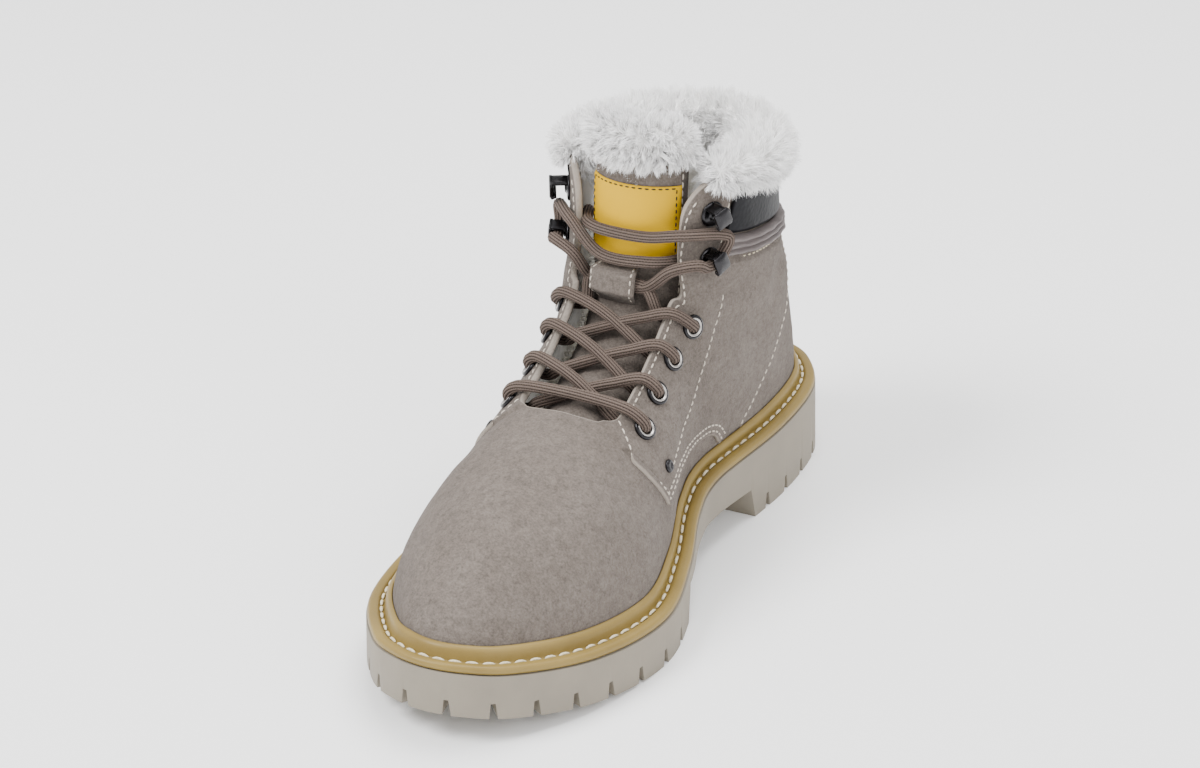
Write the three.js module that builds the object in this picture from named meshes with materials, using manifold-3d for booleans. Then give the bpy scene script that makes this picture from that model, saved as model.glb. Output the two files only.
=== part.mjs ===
// A lace-up winter ankle boot for the right foot, with a lugged sole, a storm welt, a suede upper
// over a fur lining and a fur collar. Millimetres, +Z up. The toe points to -Y and the inner side
// of the foot is +X. The origin is on the floor, under the middle of the sole's outline.
import * as THREE from "three";
import Module from "manifold-3d";
import { mergeVertices } from "three/addons/utils/BufferGeometryUtils.js";

const wasm = await Module();
wasm.setup();

// Driving sizes
const soleLength = 300;
const ballWidth = 112;
const collarHeight = 145;
const fit = 0.3; // clearance between pieces that meet
const curvedFit = 0.6; // the same between two faceted pieces that bend round the heel

// Sole
const forefootThickness = 17.5;
const heelHeight = 29.5;
const toeSpring = 12;
const archHeight = 14.5;
const soleFlare = 1.5;
const lugHeight = 6.5;
const lugPitch = 16.5;
const lugSlotWidth = 2.6;
const lugSlotDepth = 17;
const treadDepth = 4.5;
const treadBarWidth = 9;
const heelLength = 98;

// Welt
const weltWidth = 9;
const weltThickness = 3.2;
const ridgeHeight = 4.4;
const ridgeWidth = 3;

// Upper
const wall = 3;
const overlay = 1.4;
const quarterReach = 0.992; // the quarters stop just short of the wall's cut edge
const eyeletsPerSide = 4;
const notchDepth = 0.07; // share of the wall's height that the notch over the eyelets takes
const insoleThickness = 5;
const cuffThickness = 2;
const rollThickness = 3.6;

// Hardware
const eyeletRadius = 4.9;
const eyeletBore = 2.7;
const eyeletFlange = 0.9;
const eyeletBarrel = 0.5;
const eyeletSeat = 0.6; // the flange's height over the curved leather
const rivetRadius = 2.6;
const rivetShank = 1.2;
const hookBaseRadius = 5.2;
const hookBaseThickness = 1.1;
const hookWidth = 7;
const hookPlate = 1.3;
const hookHeight = 7.4;
const hookNeck = 5;

// Tongue and what is sewn on it
const tongueThickness = 3.5;
const tongueHalfWidth = 20.5;
const tongueRadius = 22;
const labelHalfWidth = 18;
const labelThickness = 0.8;
const keeperHalfWidth = 8;
const keeperAcross = -3;
const keeperThickness = 1.2;

// Lace and fur
const laceRadius = 2.3;
const laceSides = 7;
const crossingLift = 3.6; // how far the upper run of a crossing rides over the lower one
const furHeight = 12; // how far the pile stands over the topline
const furLockRadius = 3;
const furLockLength = 4.5;

const paint = (color, roughness, metalness = 0) =>
  new THREE.MeshStandardMaterial({ color, roughness, metalness });
const materials = {
  outsole: paint(0xa39c90, 0.75),
  welt: paint(0xa8935a, 0.55),
  suede: paint(0x85786d, 0.95),
  insole: paint(0xe6e2d2, 0.95),
  blackLeather: paint(0x1d1c20, 0.45),
  rollLeather: paint(0x5f5552, 0.6),
  label: paint(0xe6bd1e, 0.7),
  metal: paint(0x17161a, 0.3, 0.9),
  lace: paint(0x6d605a, 0.85),
  fur: paint(0xf2f0ea, 1),
};

const boot = new THREE.Group();

// A geometry as a solid, with shared vertices merged and its faces pointing out.
function solidFrom(geometry) {
  const bare = geometry.index ? geometry.clone() : geometry;
  bare.deleteAttribute("normal");
  bare.deleteAttribute("uv");
  const merged = mergeVertices(bare, 1e-4);
  const triVerts = new Uint32Array(merged.index.array);
  const vertProperties = new Float32Array(merged.attributes.position.array);
  const made = new wasm.Manifold(new wasm.Mesh({ numProp: 3, vertProperties, triVerts }));
  if (made.volume() > 0) return made;
  for (let i = 0; i < triVerts.length; i += 3) {
    [triVerts[i + 1], triVerts[i + 2]] = [triVerts[i + 2], triVerts[i + 1]];
  }
  return new wasm.Manifold(new wasm.Mesh({ numProp: 3, vertProperties, triVerts }));
}

// Adds a solid to the boot as a named mesh.
function addPart(name, solid, material) {
  const { vertProperties, triVerts } = solid.getMesh();
  const geometry = new THREE.BufferGeometry();
  geometry.setAttribute("position", new THREE.BufferAttribute(vertProperties, 3));
  geometry.setIndex(new THREE.BufferAttribute(triVerts, 1));
  geometry.computeVertexNormals();
  const mesh = new THREE.Mesh(geometry, material);
  mesh.name = name;
  boot.add(mesh);
}

const unite = (solids) => solids.reduce((sum, next) => sum.add(next));

// The triangles that close a flat ring of points, turned the same way round as the ring.
function capFaces(ring) {
  const normal = new THREE.Vector3();
  ring.forEach((p, i) => normal.add(p.clone().cross(ring[(i + 1) % ring.length])));
  const across = ring[1].clone().sub(ring[0]).cross(normal).normalize();
  const along = normal.clone().cross(across).normalize();
  const flat = ring.map((p) => new THREE.Vector2(p.dot(across), p.dot(along)));
  return THREE.ShapeUtils.triangulateShape(flat, []).map(([a, b, c]) => {
    const turn = flat[b].clone().sub(flat[a]).cross(flat[c].clone().sub(flat[a]));
    return turn > 0 ? [a, b, c] : [a, c, b];
  });
}

// Rings of points, all with the same count, joined into one closed solid. With wrap the last ring
// joins the first. Without it, the two end rings are closed.
function loft(rings, wrap = false) {
  const count = rings[0].length;
  const positions = rings.flat().flatMap((p) => [p.x, p.y, p.z]);
  const index = [];
  const last = wrap ? rings.length : rings.length - 1;
  for (let r = 0; r < last; r++) {
    const a = r * count;
    const b = ((r + 1) % rings.length) * count;
    for (let i = 0; i < count; i++) {
      const j = (i + 1) % count;
      index.push(a + i, a + j, b + j, a + i, b + j, b + i);
    }
  }
  if (!wrap) {
    const top = (rings.length - 1) * count;
    capFaces(rings[0]).forEach(([a, b, c]) => index.push(a, c, b));
    capFaces(rings[rings.length - 1]).forEach(([a, b, c]) => index.push(top + a, top + b, top + c));
  }
  const geometry = new THREE.BufferGeometry();
  geometry.setAttribute("position", new THREE.BufferAttribute(new Float32Array(positions), 3));
  geometry.setIndex(index);
  return solidFrom(geometry);
}

// A smooth value through the rows of a table, at a place along the rows' first column.
function along(rows, column, at) {
  let k = 0;
  while (k < rows.length - 2 && rows[k + 1].at < at) k++;
  const [a, b] = [rows[k], rows[k + 1]];
  const t = (at - a.at) / (b.at - a.at);
  const slope = (i) => {
    const before = rows[Math.max(i - 1, 0)];
    const after = rows[Math.min(i + 1, rows.length - 1)];
    return (after[column] - before[column]) / (after.at - before.at);
  };
  const h = b.at - a.at;
  const [t2, t3] = [t * t, t * t * t];
  return (
    (2 * t3 - 3 * t2 + 1) * a[column] +
    (t3 - 2 * t2 + t) * h * slope(k) +
    (3 * t2 - 2 * t3) * b[column] +
    (t3 - t2) * h * slope(k + 1)
  );
}

// The rows of one side of the foot with the other side's mirror image before the toe and after
// the heel, so that a smooth value crosses the middle without a kink. Columns in odd change sign.
function mirrored(rows, odd) {
  const flip = (row, at) => {
    const out = { ...row, at };
    odd.forEach((column) => (out[column] = -row[column]));
    return out;
  };
  const first = rows[0].at;
  const end = rows[rows.length - 1].at;
  return [
    ...rows.slice(1, 3).reverse().map((row) => flip(row, 2 * first - row.at)),
    ...rows,
    ...rows.slice(-3, -1).reverse().map((row) => flip(row, 2 * end - row.at)),
  ];
}

const smooth = (t) => {
  const c = THREE.MathUtils.clamp(t, 0, 1);
  return c * c * (3 - 2 * c);
};

// Sole outline: share of the length from the heel, with the half widths to the inner and the
// outer side as shares of the ball width.
const soleRows = [
  { from: 0, inner: 0, outer: 0 },
  { from: 0.012, inner: 0.13, outer: 0.13 },
  { from: 0.045, inner: 0.245, outer: 0.25 },
  { from: 0.12, inner: 0.344, outer: 0.348 },
  { from: 0.25, inner: 0.366, outer: 0.376 },
  { from: 0.42, inner: 0.322, outer: 0.395 },
  { from: 0.5, inner: 0.345, outer: 0.422 },
  { from: 0.6, inner: 0.43, outer: 0.468 },
  { from: 0.72, inner: 0.49, outer: 0.5 },
  { from: 0.85, inner: 0.412, outer: 0.43 },
  { from: 0.95, inner: 0.255, outer: 0.262 },
  { from: 0.987, inner: 0.132, outer: 0.134 },
  { from: 1, inner: 0, outer: 0 },
];
const outlineY = (from) => soleLength * (0.5 - from);
const outlineCurve = new THREE.CatmullRomCurve3(
  [
    ...soleRows.map((r) => new THREE.Vector3(r.inner * ballWidth, outlineY(r.from), 0)),
    ...soleRows.slice(1, -1).reverse().map(
      (r) => new THREE.Vector3(-r.outer * ballWidth, outlineY(r.from), 0),
    ),
  ],
  true,
  "catmullrom",
  0.5,
);

// The outline as closely spaced points with the distance walked, for each side from toe to heel.
const outlineSteps = 720;
const outlinePoints = Array.from({ length: outlineSteps }, (_, i) =>
  outlineCurve.getPoint(i / outlineSteps),
);
const toeIndex = outlinePoints.reduce(
  (best, p, i) => (p.y < outlinePoints[best].y ? i : best), 0);
const heelIndex = outlinePoints.reduce(
  (best, p, i) => (p.y > outlinePoints[best].y ? i : best), 0);
function walkSide(side) {
  const points = [];
  const distance = [0];
  for (let i = toeIndex; ; i = (i - side + outlineSteps) % outlineSteps) {
    points.push(outlinePoints[i]);
    if (points.length > 1) {
      distance.push(distance[distance.length - 1] + points[points.length - 2].distanceTo(points[points.length - 1]));
    }
    if (i === heelIndex) break;
  }
  return { points, distance };
}
const sideWalks = { 1: walkSide(1), "-1": walkSide(-1) };

// A point of the outline moved outwards, on side 1 (inner) or -1 (outer), at a share of the way
// from the toe to the heel.
function outlineAt(side, share, outwards = 0) {
  const { points, distance } = sideWalks[side];
  const target = THREE.MathUtils.clamp(share, 0, 1) * distance[distance.length - 1];
  let k = 0;
  while (k < points.length - 2 && distance[k + 1] < target) k++;
  const t = (target - distance[k]) / (distance[k + 1] - distance[k]);
  const p = points[k].clone().lerp(points[k + 1], t);
  const before = points[Math.max(k - 6, 0)];
  const after = points[Math.min(k + 7, points.length - 1)];
  const normal = new THREE.Vector3(-(after.y - before.y), after.x - before.x, 0)
    .normalize().multiplyScalar(-side);
  if (share <= 0.004) normal.set(0, -1, 0);
  if (share >= 0.996) normal.set(0, 1, 0);
  return p.addScaledVector(normal, outwards);
}

// Heights of the sole, along the foot.
const fromHeel = (y) => 0.5 - y / soleLength;
const springStart = 0.7;
const springAt = (y) =>
  toeSpring * Math.max(0, (fromHeel(y) - springStart) / (1 - springStart)) ** 2;
const riseStart = 0.68;
const riseEnd = 0.4;
function soleTop(y) {
  const rise = smooth((riseStart - fromHeel(y)) / (riseStart - riseEnd));
  return forefootThickness + (heelHeight - forefootThickness) * rise + springAt(y);
}

// Sections of the upper, from the middle of the toe (at 0) round to the middle of the heel (at 1).
// top is the topline: across as a share of the ball width, back of the middle as a share of the
// sole length, up as a share of the collar height. bulge and rise lead the wall out of the welt,
// and armX, armY and armZ lead it into the topline, all as shares of the same three sizes.
const upperRows = [
  { at: 0, topX: 0, topY: -0.14, topZ: 0.565, bulge: 0.018, rise: 0.2, armX: 0, armY: -0.14, armZ: -0.062 },
  { at: 0.1, topX: 0.075, topY: -0.139, topZ: 0.56, bulge: 0.018, rise: 0.193, armX: 0.08, armY: -0.127, armZ: -0.07 },
  { at: 0.2, topX: 0.14, topY: -0.133, topZ: 0.551, bulge: 0.018, rise: 0.172, armX: 0.15, armY: -0.093, armZ: -0.09 },
  { at: 0.3, topX: 0.178, topY: -0.115, topZ: 0.545, bulge: 0.018, rise: 0.152, armX: 0.178, armY: -0.04, armZ: -0.135 },
  { at: 0.36, topX: 0.181, topY: -0.087, topZ: 0.565, bulge: 0.022, rise: 0.152, armX: 0.165, armY: -0.027, armZ: -0.142 },
  { at: 0.42, topX: 0.179, topY: -0.043, topZ: 0.61, bulge: 0.036, rise: 0.166, armX: 0.14, armY: -0.02, armZ: -0.135 },
  { at: 0.5, topX: 0.179, topY: 0.02, topZ: 0.7, bulge: 0.045, rise: 0.186, armX: 0.107, armY: -0.007, armZ: -0.138 },
  { at: 0.56, topX: 0.183, topY: 0.048, topZ: 0.779, bulge: 0.05, rise: 0.193, armX: 0.107, armY: 0.01, armZ: -0.172 },
  { at: 0.62, topX: 0.19, topY: 0.058, topZ: 0.91, bulge: 0.05, rise: 0.2, armX: 0.112, armY: 0.018, armZ: -0.22 },
  { at: 0.68, topX: 0.205, topY: 0.067, topZ: 1.005, bulge: 0.045, rise: 0.207, armX: 0.107, armY: 0.03, armZ: -0.262 },
  { at: 0.725, topX: 0.255, topY: 0.092, topZ: 1.06, bulge: 0.04, rise: 0.207, armX: 0.067, armY: 0.035, armZ: -0.276 },
  { at: 0.78, topX: 0.325, topY: 0.145, topZ: 1.045, bulge: 0.036, rise: 0.207, armX: 0.009, armY: 0.03, armZ: -0.276 },
  { at: 0.86, topX: 0.318, topY: 0.245, topZ: 1.021, bulge: 0.03, rise: 0.207, armX: -0.027, armY: 0.012, armZ: -0.262 },
  { at: 0.93, topX: 0.205, topY: 0.332, topZ: 1.003, bulge: 0.032, rise: 0.2, armX: -0.03, armY: -0.015, armZ: -0.262 },
  { at: 1, topX: 0, topY: 0.368, topZ: 1, bulge: 0.045, rise: 0.2, armX: 0, armY: -0.025, armZ: -0.262 },
];
const upperTable = mirrored(upperRows, ["topX", "armX"]);

// The notch between the last eyelet and the first hook, as the share of the wall that is left.
const notchAt = 0.572;
const notchSpread = 0.02;
const edgeTrim = (round) => 1 - notchDepth * Math.exp(-(((round - notchAt) / notchSpread) ** 2));

// A point of the upper's outer face: side 1 or -1, round from toe to heel, and up from the welt
// to the topline.
function upperPoint(side, round, up) {
  const value = (column) => along(upperTable, column, round);
  const foot = outlineAt(side, round, -weltWidth);
  foot.z = soleTop(foot.y) + fit;
  const out = outlineAt(side, round, 0).sub(outlineAt(side, round, -1));
  const top = new THREE.Vector3(
    side * value("topX") * ballWidth, value("topY") * soleLength, value("topZ") * collarHeight);
  const low = foot.clone().addScaledVector(out, value("bulge") * ballWidth);
  low.z += value("rise") * collarHeight;
  const high = top.clone().add(
    new THREE.Vector3(
      side * value("armX") * ballWidth, value("armY") * soleLength, value("armZ") * collarHeight));
  const rest = 1 - up;
  return new THREE.Vector3()
    .addScaledVector(foot, rest ** 3)
    .addScaledVector(low, 3 * rest ** 2 * up)
    .addScaledVector(high, 3 * rest * up ** 2)
    .addScaledVector(top, up ** 3);
}

// The outward normal there, and the point moved along it.
function upperNormal(side, round, up) {
  const step = 0.004;
  const [r0, r1] = [Math.max(round - step, 0), Math.min(round + step, 1)];
  const [u0, u1] = [Math.max(up - step, 0), Math.min(up + step, 1)];
  const around = upperPoint(side, r1, up).sub(upperPoint(side, r0, up));
  if (round < step || round > 1 - step) around.set(round < step ? side : -side, 0, 0);
  const upwards = upperPoint(side, round, u1).sub(upperPoint(side, round, u0));
  return around.cross(upwards).multiplyScalar(side).normalize();
}
function upperOffset(side, round, up, distance) {
  const p = upperPoint(side, round, up).addScaledVector(upperNormal(side, round, up), distance);
  if (up === 0) p.z = soleTop(p.y) + fit;
  return p;
}

// Places round the boot, closer together where the topline turns.
const roundSteps = 28;
const roundPlaces = Array.from({ length: roundSteps + 1 }, (_, i) => i / roundSteps);
const loop = [
  ...roundPlaces.slice(0, -1).map((round) => ({ side: 1, round })),
  ...roundPlaces.slice(1).reverse().map((round) => ({ side: -1, round })),
];

// A layer of the upper between two distances from its outer face, all the way round. reach is how
// far up towards the topline it goes.
const upSteps = 9;
function layer(inside, outside, reach = 1) {
  const ring = (up, distance) =>
    loop.map(({ side, round }) => upperOffset(side, round, up * reach * edgeTrim(round), distance));
  const rings = [];
  for (let i = 0; i <= upSteps; i++) rings.push(ring(i / upSteps, outside));
  for (let i = upSteps; i >= 0; i--) rings.push(ring(i / upSteps, inside));
  return loft(rings, true);
}

// A slab across the foot between two heights that are worked out along it.
function slab(low, high) {
  const end = soleLength / 2 + soleFlare + 1;
  const steps = 32;
  const places = Array.from({ length: steps + 1 }, (_, i) =>
    THREE.MathUtils.lerp(-end, end, i / steps));
  return sidePlate([
    ...places.map((y) => [y, low(y)]),
    ...places.reverse().map((y) => [y, high(y)]),
  ], -ballWidth, ballWidth);
}

// A plate whose outline is drawn in the side view (back of the middle, up), from x = from to to.
function sidePlate(points, from, to) {
  const shape = new THREE.Shape(points.map(([y, z]) => new THREE.Vector2(y, z)));
  const geometry = new THREE.ExtrudeGeometry(shape, { depth: to - from, bevelEnabled: false });
  geometry.rotateY(Math.PI / 2).rotateX(Math.PI / 2);
  geometry.translate(from, 0, 0);
  return solidFrom(geometry);
}

function outsole() {
  const ringAt = (outwards, z) =>
    loop.map(({ side, round }) => {
      const p = outlineAt(side, round, outwards);
      p.z = z;
      return p;
    });
  const block = loft([ringAt(soleFlare, -1), ringAt(0, heelHeight + toeSpring + 20)]);
  const reach = ballWidth;
  const back = soleLength / 2 + 10;
  const breast = soleLength / 2 - heelLength;
  const ballEnd = outlineY(0.62);
  const topLine = [];
  const bottomLine = [];
  const profileSteps = 30;
  for (let i = 0; i <= profileSteps; i++) {
    const y = THREE.MathUtils.lerp(back, -back, i / profileSteps);
    topLine.push([y, soleTop(y)]);
  }
  for (let i = 0; i <= 8; i++) {
    const y = THREE.MathUtils.lerp(-back, outlineY(springStart), i / 8);
    bottomLine.push([y, springAt(y)]);
  }
  bottomLine.push(
    [ballEnd, 0], [ballEnd + 5, archHeight], [(ballEnd + breast) / 2, archHeight + 1],
    [breast - 3, archHeight - 1], [breast, 0], [back, 0]);
  let sole = block.intersect(sidePlate([...topLine, ...bottomLine], -reach, reach));
  const tread = [];
  for (const side of [1, -1]) {
    const { distance } = sideWalks[side];
    const total = distance[distance.length - 1];
    const isLugged = (y) => y < ballEnd - lugPitch / 2 || y > breast + lugPitch / 2;
    for (let d = lugPitch / 2; d < total - lugPitch / 3; d += lugPitch) {
      const edge = outlineAt(side, d / total);
      if (!isLugged(edge.y)) continue;
      tread.push(lugSlot(side, d / total, edge));
    }
  }
  tread.push(...treadFields(breast, ballEnd));
  return sole.subtract(unite(tread));
}

// A slot between two lugs, wider at the floor, cut in from the edge.
function lugSlot(side, share, edge) {
  const shape = new THREE.Shape();
  const half = lugSlotWidth / 2;
  shape.moveTo(-half - 0.9, -4);
  shape.lineTo(half + 0.9, -4);
  shape.lineTo(half * 0.7, lugHeight);
  shape.lineTo(-half * 0.7, lugHeight);
  const slot = new THREE.ExtrudeGeometry(shape, { depth: lugSlotDepth + 5, bevelEnabled: false });
  slot.translate(0, 0, -5);
  const inwards = edge.clone().sub(outlineAt(side, share, 1));
  const turn = new THREE.Matrix4().makeBasis(
    new THREE.Vector3(0, 0, 1).cross(inwards).negate().multiplyScalar(-1),
    new THREE.Vector3(0, 0, 1),
    inwards.clone(),
  );
  slot.applyMatrix4(turn);
  slot.translate(edge.x, edge.y, springAt(edge.y));
  return solidFrom(slot);
}

// The sunk fields inside the ring of edge lugs, each crossed by bars that stay at the floor.
function treadFields(breast, ballEnd) {
  const fields = [];
  const inset = -(lugSlotDepth - 1);
  const field = (yLow, yHigh) => {
    const ring = (z) =>
      loop.map(({ side, round }) => {
        const p = outlineAt(side, round, inset);
        p.z = z;
        return p;
      });
    const prism = loft([ring(-6), ring(treadDepth + toeSpring)]);
    const line = [];
    const steps = 8;
    for (let i = 0; i <= steps; i++) {
      const y = THREE.MathUtils.lerp(yLow, yHigh, i / steps);
      line.push([y, springAt(y) + treadDepth]);
    }
    line.push([yHigh, -6], [yLow, -6]);
    return prism.intersect(sidePlate(line, -ballWidth, ballWidth));
  };
  const bars = [];
  const toeEnd = outlineY(0.93);
  for (let y = toeEnd + treadBarWidth; y + treadBarWidth < ballEnd - 6; y += 2 * treadBarWidth) {
    bars.push([y, y + treadBarWidth]);
  }
  let from = toeEnd;
  for (const [low, high] of bars) {
    fields.push(field(from, low));
    from = high;
  }
  fields.push(field(from, ballEnd - 6));
  const heelFrom = breast + 12;
  const heelTo = soleLength / 2 - 18;
  const middle = (heelFrom + heelTo) / 2;
  fields.push(field(heelFrom, middle - treadBarWidth / 2));
  fields.push(field(middle + treadBarWidth / 2, heelTo));
  return fields;
}

// The welt: a ledge with a stitch groove and a storm ridge against the upper.
function welt() {
  const ridgeUp = (side, round) => {
    const target = upperPoint(side, round, 0).z + weltThickness + ridgeHeight;
    let [low, high] = [0, 0.5];
    for (let i = 0; i < 24; i++) {
      const middle = (low + high) / 2;
      if (upperPoint(side, round, middle).z < target) low = middle;
      else high = middle;
    }
    return low;
  };
  const atEdge = (side, round, outwards, height) => {
    const p = outlineAt(side, round, outwards);
    p.z = soleTop(p.y) + fit + height;
    return p;
  };
  const corners = [
    ({ side, round }) => atEdge(side, round, -1, 0),
    ({ side, round }) => atEdge(side, round, 0.4, weltThickness * 0.35),
    ({ side, round }) => atEdge(side, round, -0.4, weltThickness * 0.9),
    ({ side, round }) => atEdge(side, round, -1.6, weltThickness),
    ({ side, round }) => atEdge(side, round, -weltWidth / 2, weltThickness - 0.4),
    ({ side, round }) => atEdge(side, round, -weltWidth + ridgeWidth, weltThickness),
    ({ side, round }) => upperOffset(side, round, ridgeUp(side, round) * 0.9, fit + ridgeWidth * 0.55),
    ({ side, round }) => upperOffset(side, round, ridgeUp(side, round), fit + ridgeWidth * 0.2),
    ({ side, round }) => upperOffset(side, round, ridgeUp(side, round), fit),
    ({ side, round }) => upperOffset(side, round, ridgeUp(side, round) / 2, fit),
    ({ side, round }) => upperOffset(side, round, 0, fit),
  ];
  return loft(corners.map((corner) => loop.map(corner)), true);
}

function insole() {
  const ring = (z) =>
    loop.map(({ side, round }) => {
      const p = outlineAt(side, round, -weltWidth - wall - 2);
      p.z = z;
      return p;
    });
  const seat = (y) => soleTop(y) + fit;
  return loft([ring(0), ring(2 * heelHeight + toeSpring)])
    .intersect(slab(seat, (y) => seat(y) + insoleThickness));
}

// Outlines in the side view, back of the middle as a share of the sole length and up as a share
// of the collar height.
const atShares = (rows) => rows.map(([y, z]) => [y * soleLength, z * collarHeight]);
const quarterOutline = atShares([
  [-0.127, 0.6], [-0.145, 0.5], [-0.105, 0.32], [-0.03, 0.352], [0.063, 0.335], [0.103, 0.31],
  [0.122, 0.268], [0.178, 0.268], [0.225, 0.36], [0.27, 0.45], [0.31, 0.55],
  [0.325, 0.64], [0.315, 0.745], [0.113, 0.83], [0.13, 1.07], [0.135, 1.2], [-0.02, 1.2],
  [-0.02, 0.9],
]);
const cuffOutline = atShares([
  [0.1, 0.92], [0.6, 0.728], [0.6, 0.97], [0.25, 0.99], [0.14, 1.03], [0.1, 1.05],
]);
const rollOutline = atShares([
  [0.09, 0.847], [0.6, 0.66], [0.6, 0.71], [0.09, 0.903],
]);
const tabClearance = quarterOutline.map(([y, z]) => [y + 2 * fit, z]);
const band = (outline, inside, outside) =>
  layer(inside, outside)
    .intersect(sidePlate(outline, -ballWidth, ballWidth))
    .subtract(sidePlate(tabClearance, -ballWidth, ballWidth));

// The place on the upper's side that is this far behind the middle and this high.
function placeOn(side, y, z) {
  let [round, up] = [0.5, 0.8];
  const step = 0.001;
  for (let i = 0; i < 40; i++) {
    const p = upperPoint(side, round, up);
    const a = upperPoint(side, round + step, up).sub(p).divideScalar(step);
    const b = upperPoint(side, round, up + step).sub(p).divideScalar(step);
    const det = a.y * b.z - a.z * b.y;
    const [dy, dz] = [y - p.y, z - p.z];
    round = THREE.MathUtils.clamp(round + 0.5 * (dy * b.z - dz * b.y) / det, 0.3, 0.8);
    up = THREE.MathUtils.clamp(up + 0.5 * (a.y * dz - a.z * dy) / det, 0.2, 1);
  }
  return { side, round, up };
}

// A frame on the upper: z out of the leather, x round towards the heel, y up to the topline.
function frameOn({ side, round, up }, distance) {
  const z = upperNormal(side, round, up);
  const ahead = upperPoint(side, round, Math.min(up + 0.01, 1))
    .sub(upperPoint(side, round, up - 0.01));
  const y = ahead.addScaledVector(z, -ahead.dot(z)).normalize();
  const x = y.clone().cross(z);
  const origin = upperOffset(side, round, up, distance);
  return new THREE.Matrix4().makeBasis(x, y, z).setPosition(origin);
}
const latheOn = (profile, segments, matrix) => {
  const geometry = new THREE.LatheGeometry(
    profile.map(([r, h]) => new THREE.Vector2(r, h)), segments);
  geometry.rotateX(Math.PI / 2);
  return solidFrom(geometry.applyMatrix4(matrix));
};

// The hardware of one side, as shares of the sole length and the collar height.
const firstEyelet = { y: -0.092, z: 0.51 };
const lastEyelet = { y: 0.056, z: 0.675 };
const hookRows = [{ y: 0.09, z: 0.845 }, { y: 0.095, z: 0.975 }];
const rivetRow = { y: -0.085, z: 0.408 };
const eyeletPlaces = [];
const hookPlaces = [];
const rivetPlaces = [];
for (const side of [1, -1]) {
  const at = ({ y, z }, number) => ({ ...placeOn(side, y * soleLength, z * collarHeight), number });
  for (let i = 0; i < eyeletsPerSide; i++) {
    const t = i / (eyeletsPerSide - 1);
    const y = THREE.MathUtils.lerp(firstEyelet.y, lastEyelet.y, t);
    const z = THREE.MathUtils.lerp(firstEyelet.z, lastEyelet.z, t);
    eyeletPlaces.push(at({ y, z }, i + 1));
  }
  hookRows.forEach((row, i) => hookPlaces.push(at(row, i + 1)));
  rivetPlaces.push(at(rivetRow, 1));
}
const sideName = (side) => (side === 1 ? "inner" : "outer");

const holeRadius = eyeletBore + eyeletBarrel + fit;
const drill = (place, radius) =>
  latheOn([[0, -wall - 3], [radius, -wall - 3], [radius, overlay + 3], [0, overlay + 3]], 14,
    frameOn(place, 0));

function upper() {
  const base = layer(-wall, 0);
  const quarters = layer(-wall / 2, overlay, quarterReach)
    .intersect(sidePlate(quarterOutline, -ballWidth, ballWidth));
  const holes = [
    ...eyeletPlaces.map((place) => drill(place, holeRadius)),
    ...[...hookPlaces, ...rivetPlaces].map((place) => drill(place, rivetShank + fit)),
  ];
  return base.add(quarters).subtract(unite(holes));
}

const eyelet = (place) =>
  latheOn([
    [eyeletBore, -wall - overlay], [eyeletBore + eyeletBarrel, -wall - overlay],
    [eyeletBore + eyeletBarrel, eyeletSeat], [eyeletRadius, eyeletSeat],
    [eyeletRadius - 0.4, eyeletSeat + eyeletFlange], [eyeletBore, eyeletSeat + eyeletFlange],
    [eyeletBore, -wall - overlay],
  ], 10, frameOn(place, overlay));

const rivet = (place) =>
  latheOn([
    [0, -wall], [rivetShank, -wall], [rivetShank, fit], [rivetRadius, fit],
    [rivetRadius * 0.75, 1.2], [0, 1.5],
  ], 10, frameOn(place, overlay));

// A speed hook: a round base, a neck on the throat's side and a lip that points to the heel.
function hook(place) {
  const base = [
    [0, -wall], [rivetShank, -wall], [rivetShank, fit], [hookBaseRadius, fit],
    [hookBaseRadius, hookBaseThickness], [2.4, hookBaseThickness + 0.2], [0, hookBaseThickness + 1],
  ];
  const matrix = frameOn(place, overlay);
  const box = (w, h, d, x, y, z) => {
    const geometry = new THREE.BoxGeometry(w, h, d);
    geometry.translate(x, y, z);
    return solidFrom(geometry.applyMatrix4(matrix));
  };
  const neckY = hookBaseRadius - hookPlate;
  const lipLength = 2 * hookBaseRadius - 3;
  const foot = fit + hookBaseThickness / 2;
  return unite([
    latheOn(base, 10, matrix),
    box(hookNeck, hookPlate, hookHeight - foot, 0, neckY, foot + (hookHeight - foot) / 2),
    box(hookWidth, lipLength, hookPlate, 0, neckY + hookPlate / 2 - lipLength / 2, hookHeight),
    box(hookWidth, hookPlate, 1.6, 0, neckY + hookPlate - lipLength, hookHeight - 0.9),
  ]);
}

// The tongue's middle line: back of the middle and up, as shares of the sole length and the
// collar height, from under the vamp to its top edge.
const tongueRows = [
  { at: 0, y: -0.178, z: 0.465 },
  { at: 0.1, y: -0.137, z: 0.503 },
  { at: 0.25, y: -0.078, z: 0.549 },
  { at: 0.4, y: -0.018, z: 0.602 },
  { at: 0.53, y: 0.031, z: 0.675 },
  { at: 0.63, y: 0.05, z: 0.78 },
  { at: 0.76, y: 0.054, z: 0.9 },
  { at: 0.88, y: 0.057, z: 1.02 },
  { at: 1, y: 0.062, z: 1.135 },
];
// A point of the tongue: along its middle line, across in millimetres, and out of its face.
function tonguePoint(share, across, out) {
  const at = (s) =>
    new THREE.Vector3(0, along(tongueRows, "y", s) * soleLength, along(tongueRows, "z", s) * collarHeight);
  const step = 0.01;
  const ahead = at(Math.min(share + step, 1)).sub(at(Math.max(share - step, 0))).normalize();
  const normal = new THREE.Vector3(0, -ahead.z, ahead.y);
  const angle = Math.asin(THREE.MathUtils.clamp(across / tongueRadius, -0.999, 0.999));
  const radius = tongueRadius + out;
  return at(share)
    .addScaledVector(normal, radius * Math.cos(angle) - tongueRadius)
    .add(new THREE.Vector3(radius * Math.sin(angle), 0, 0));
}
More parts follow.
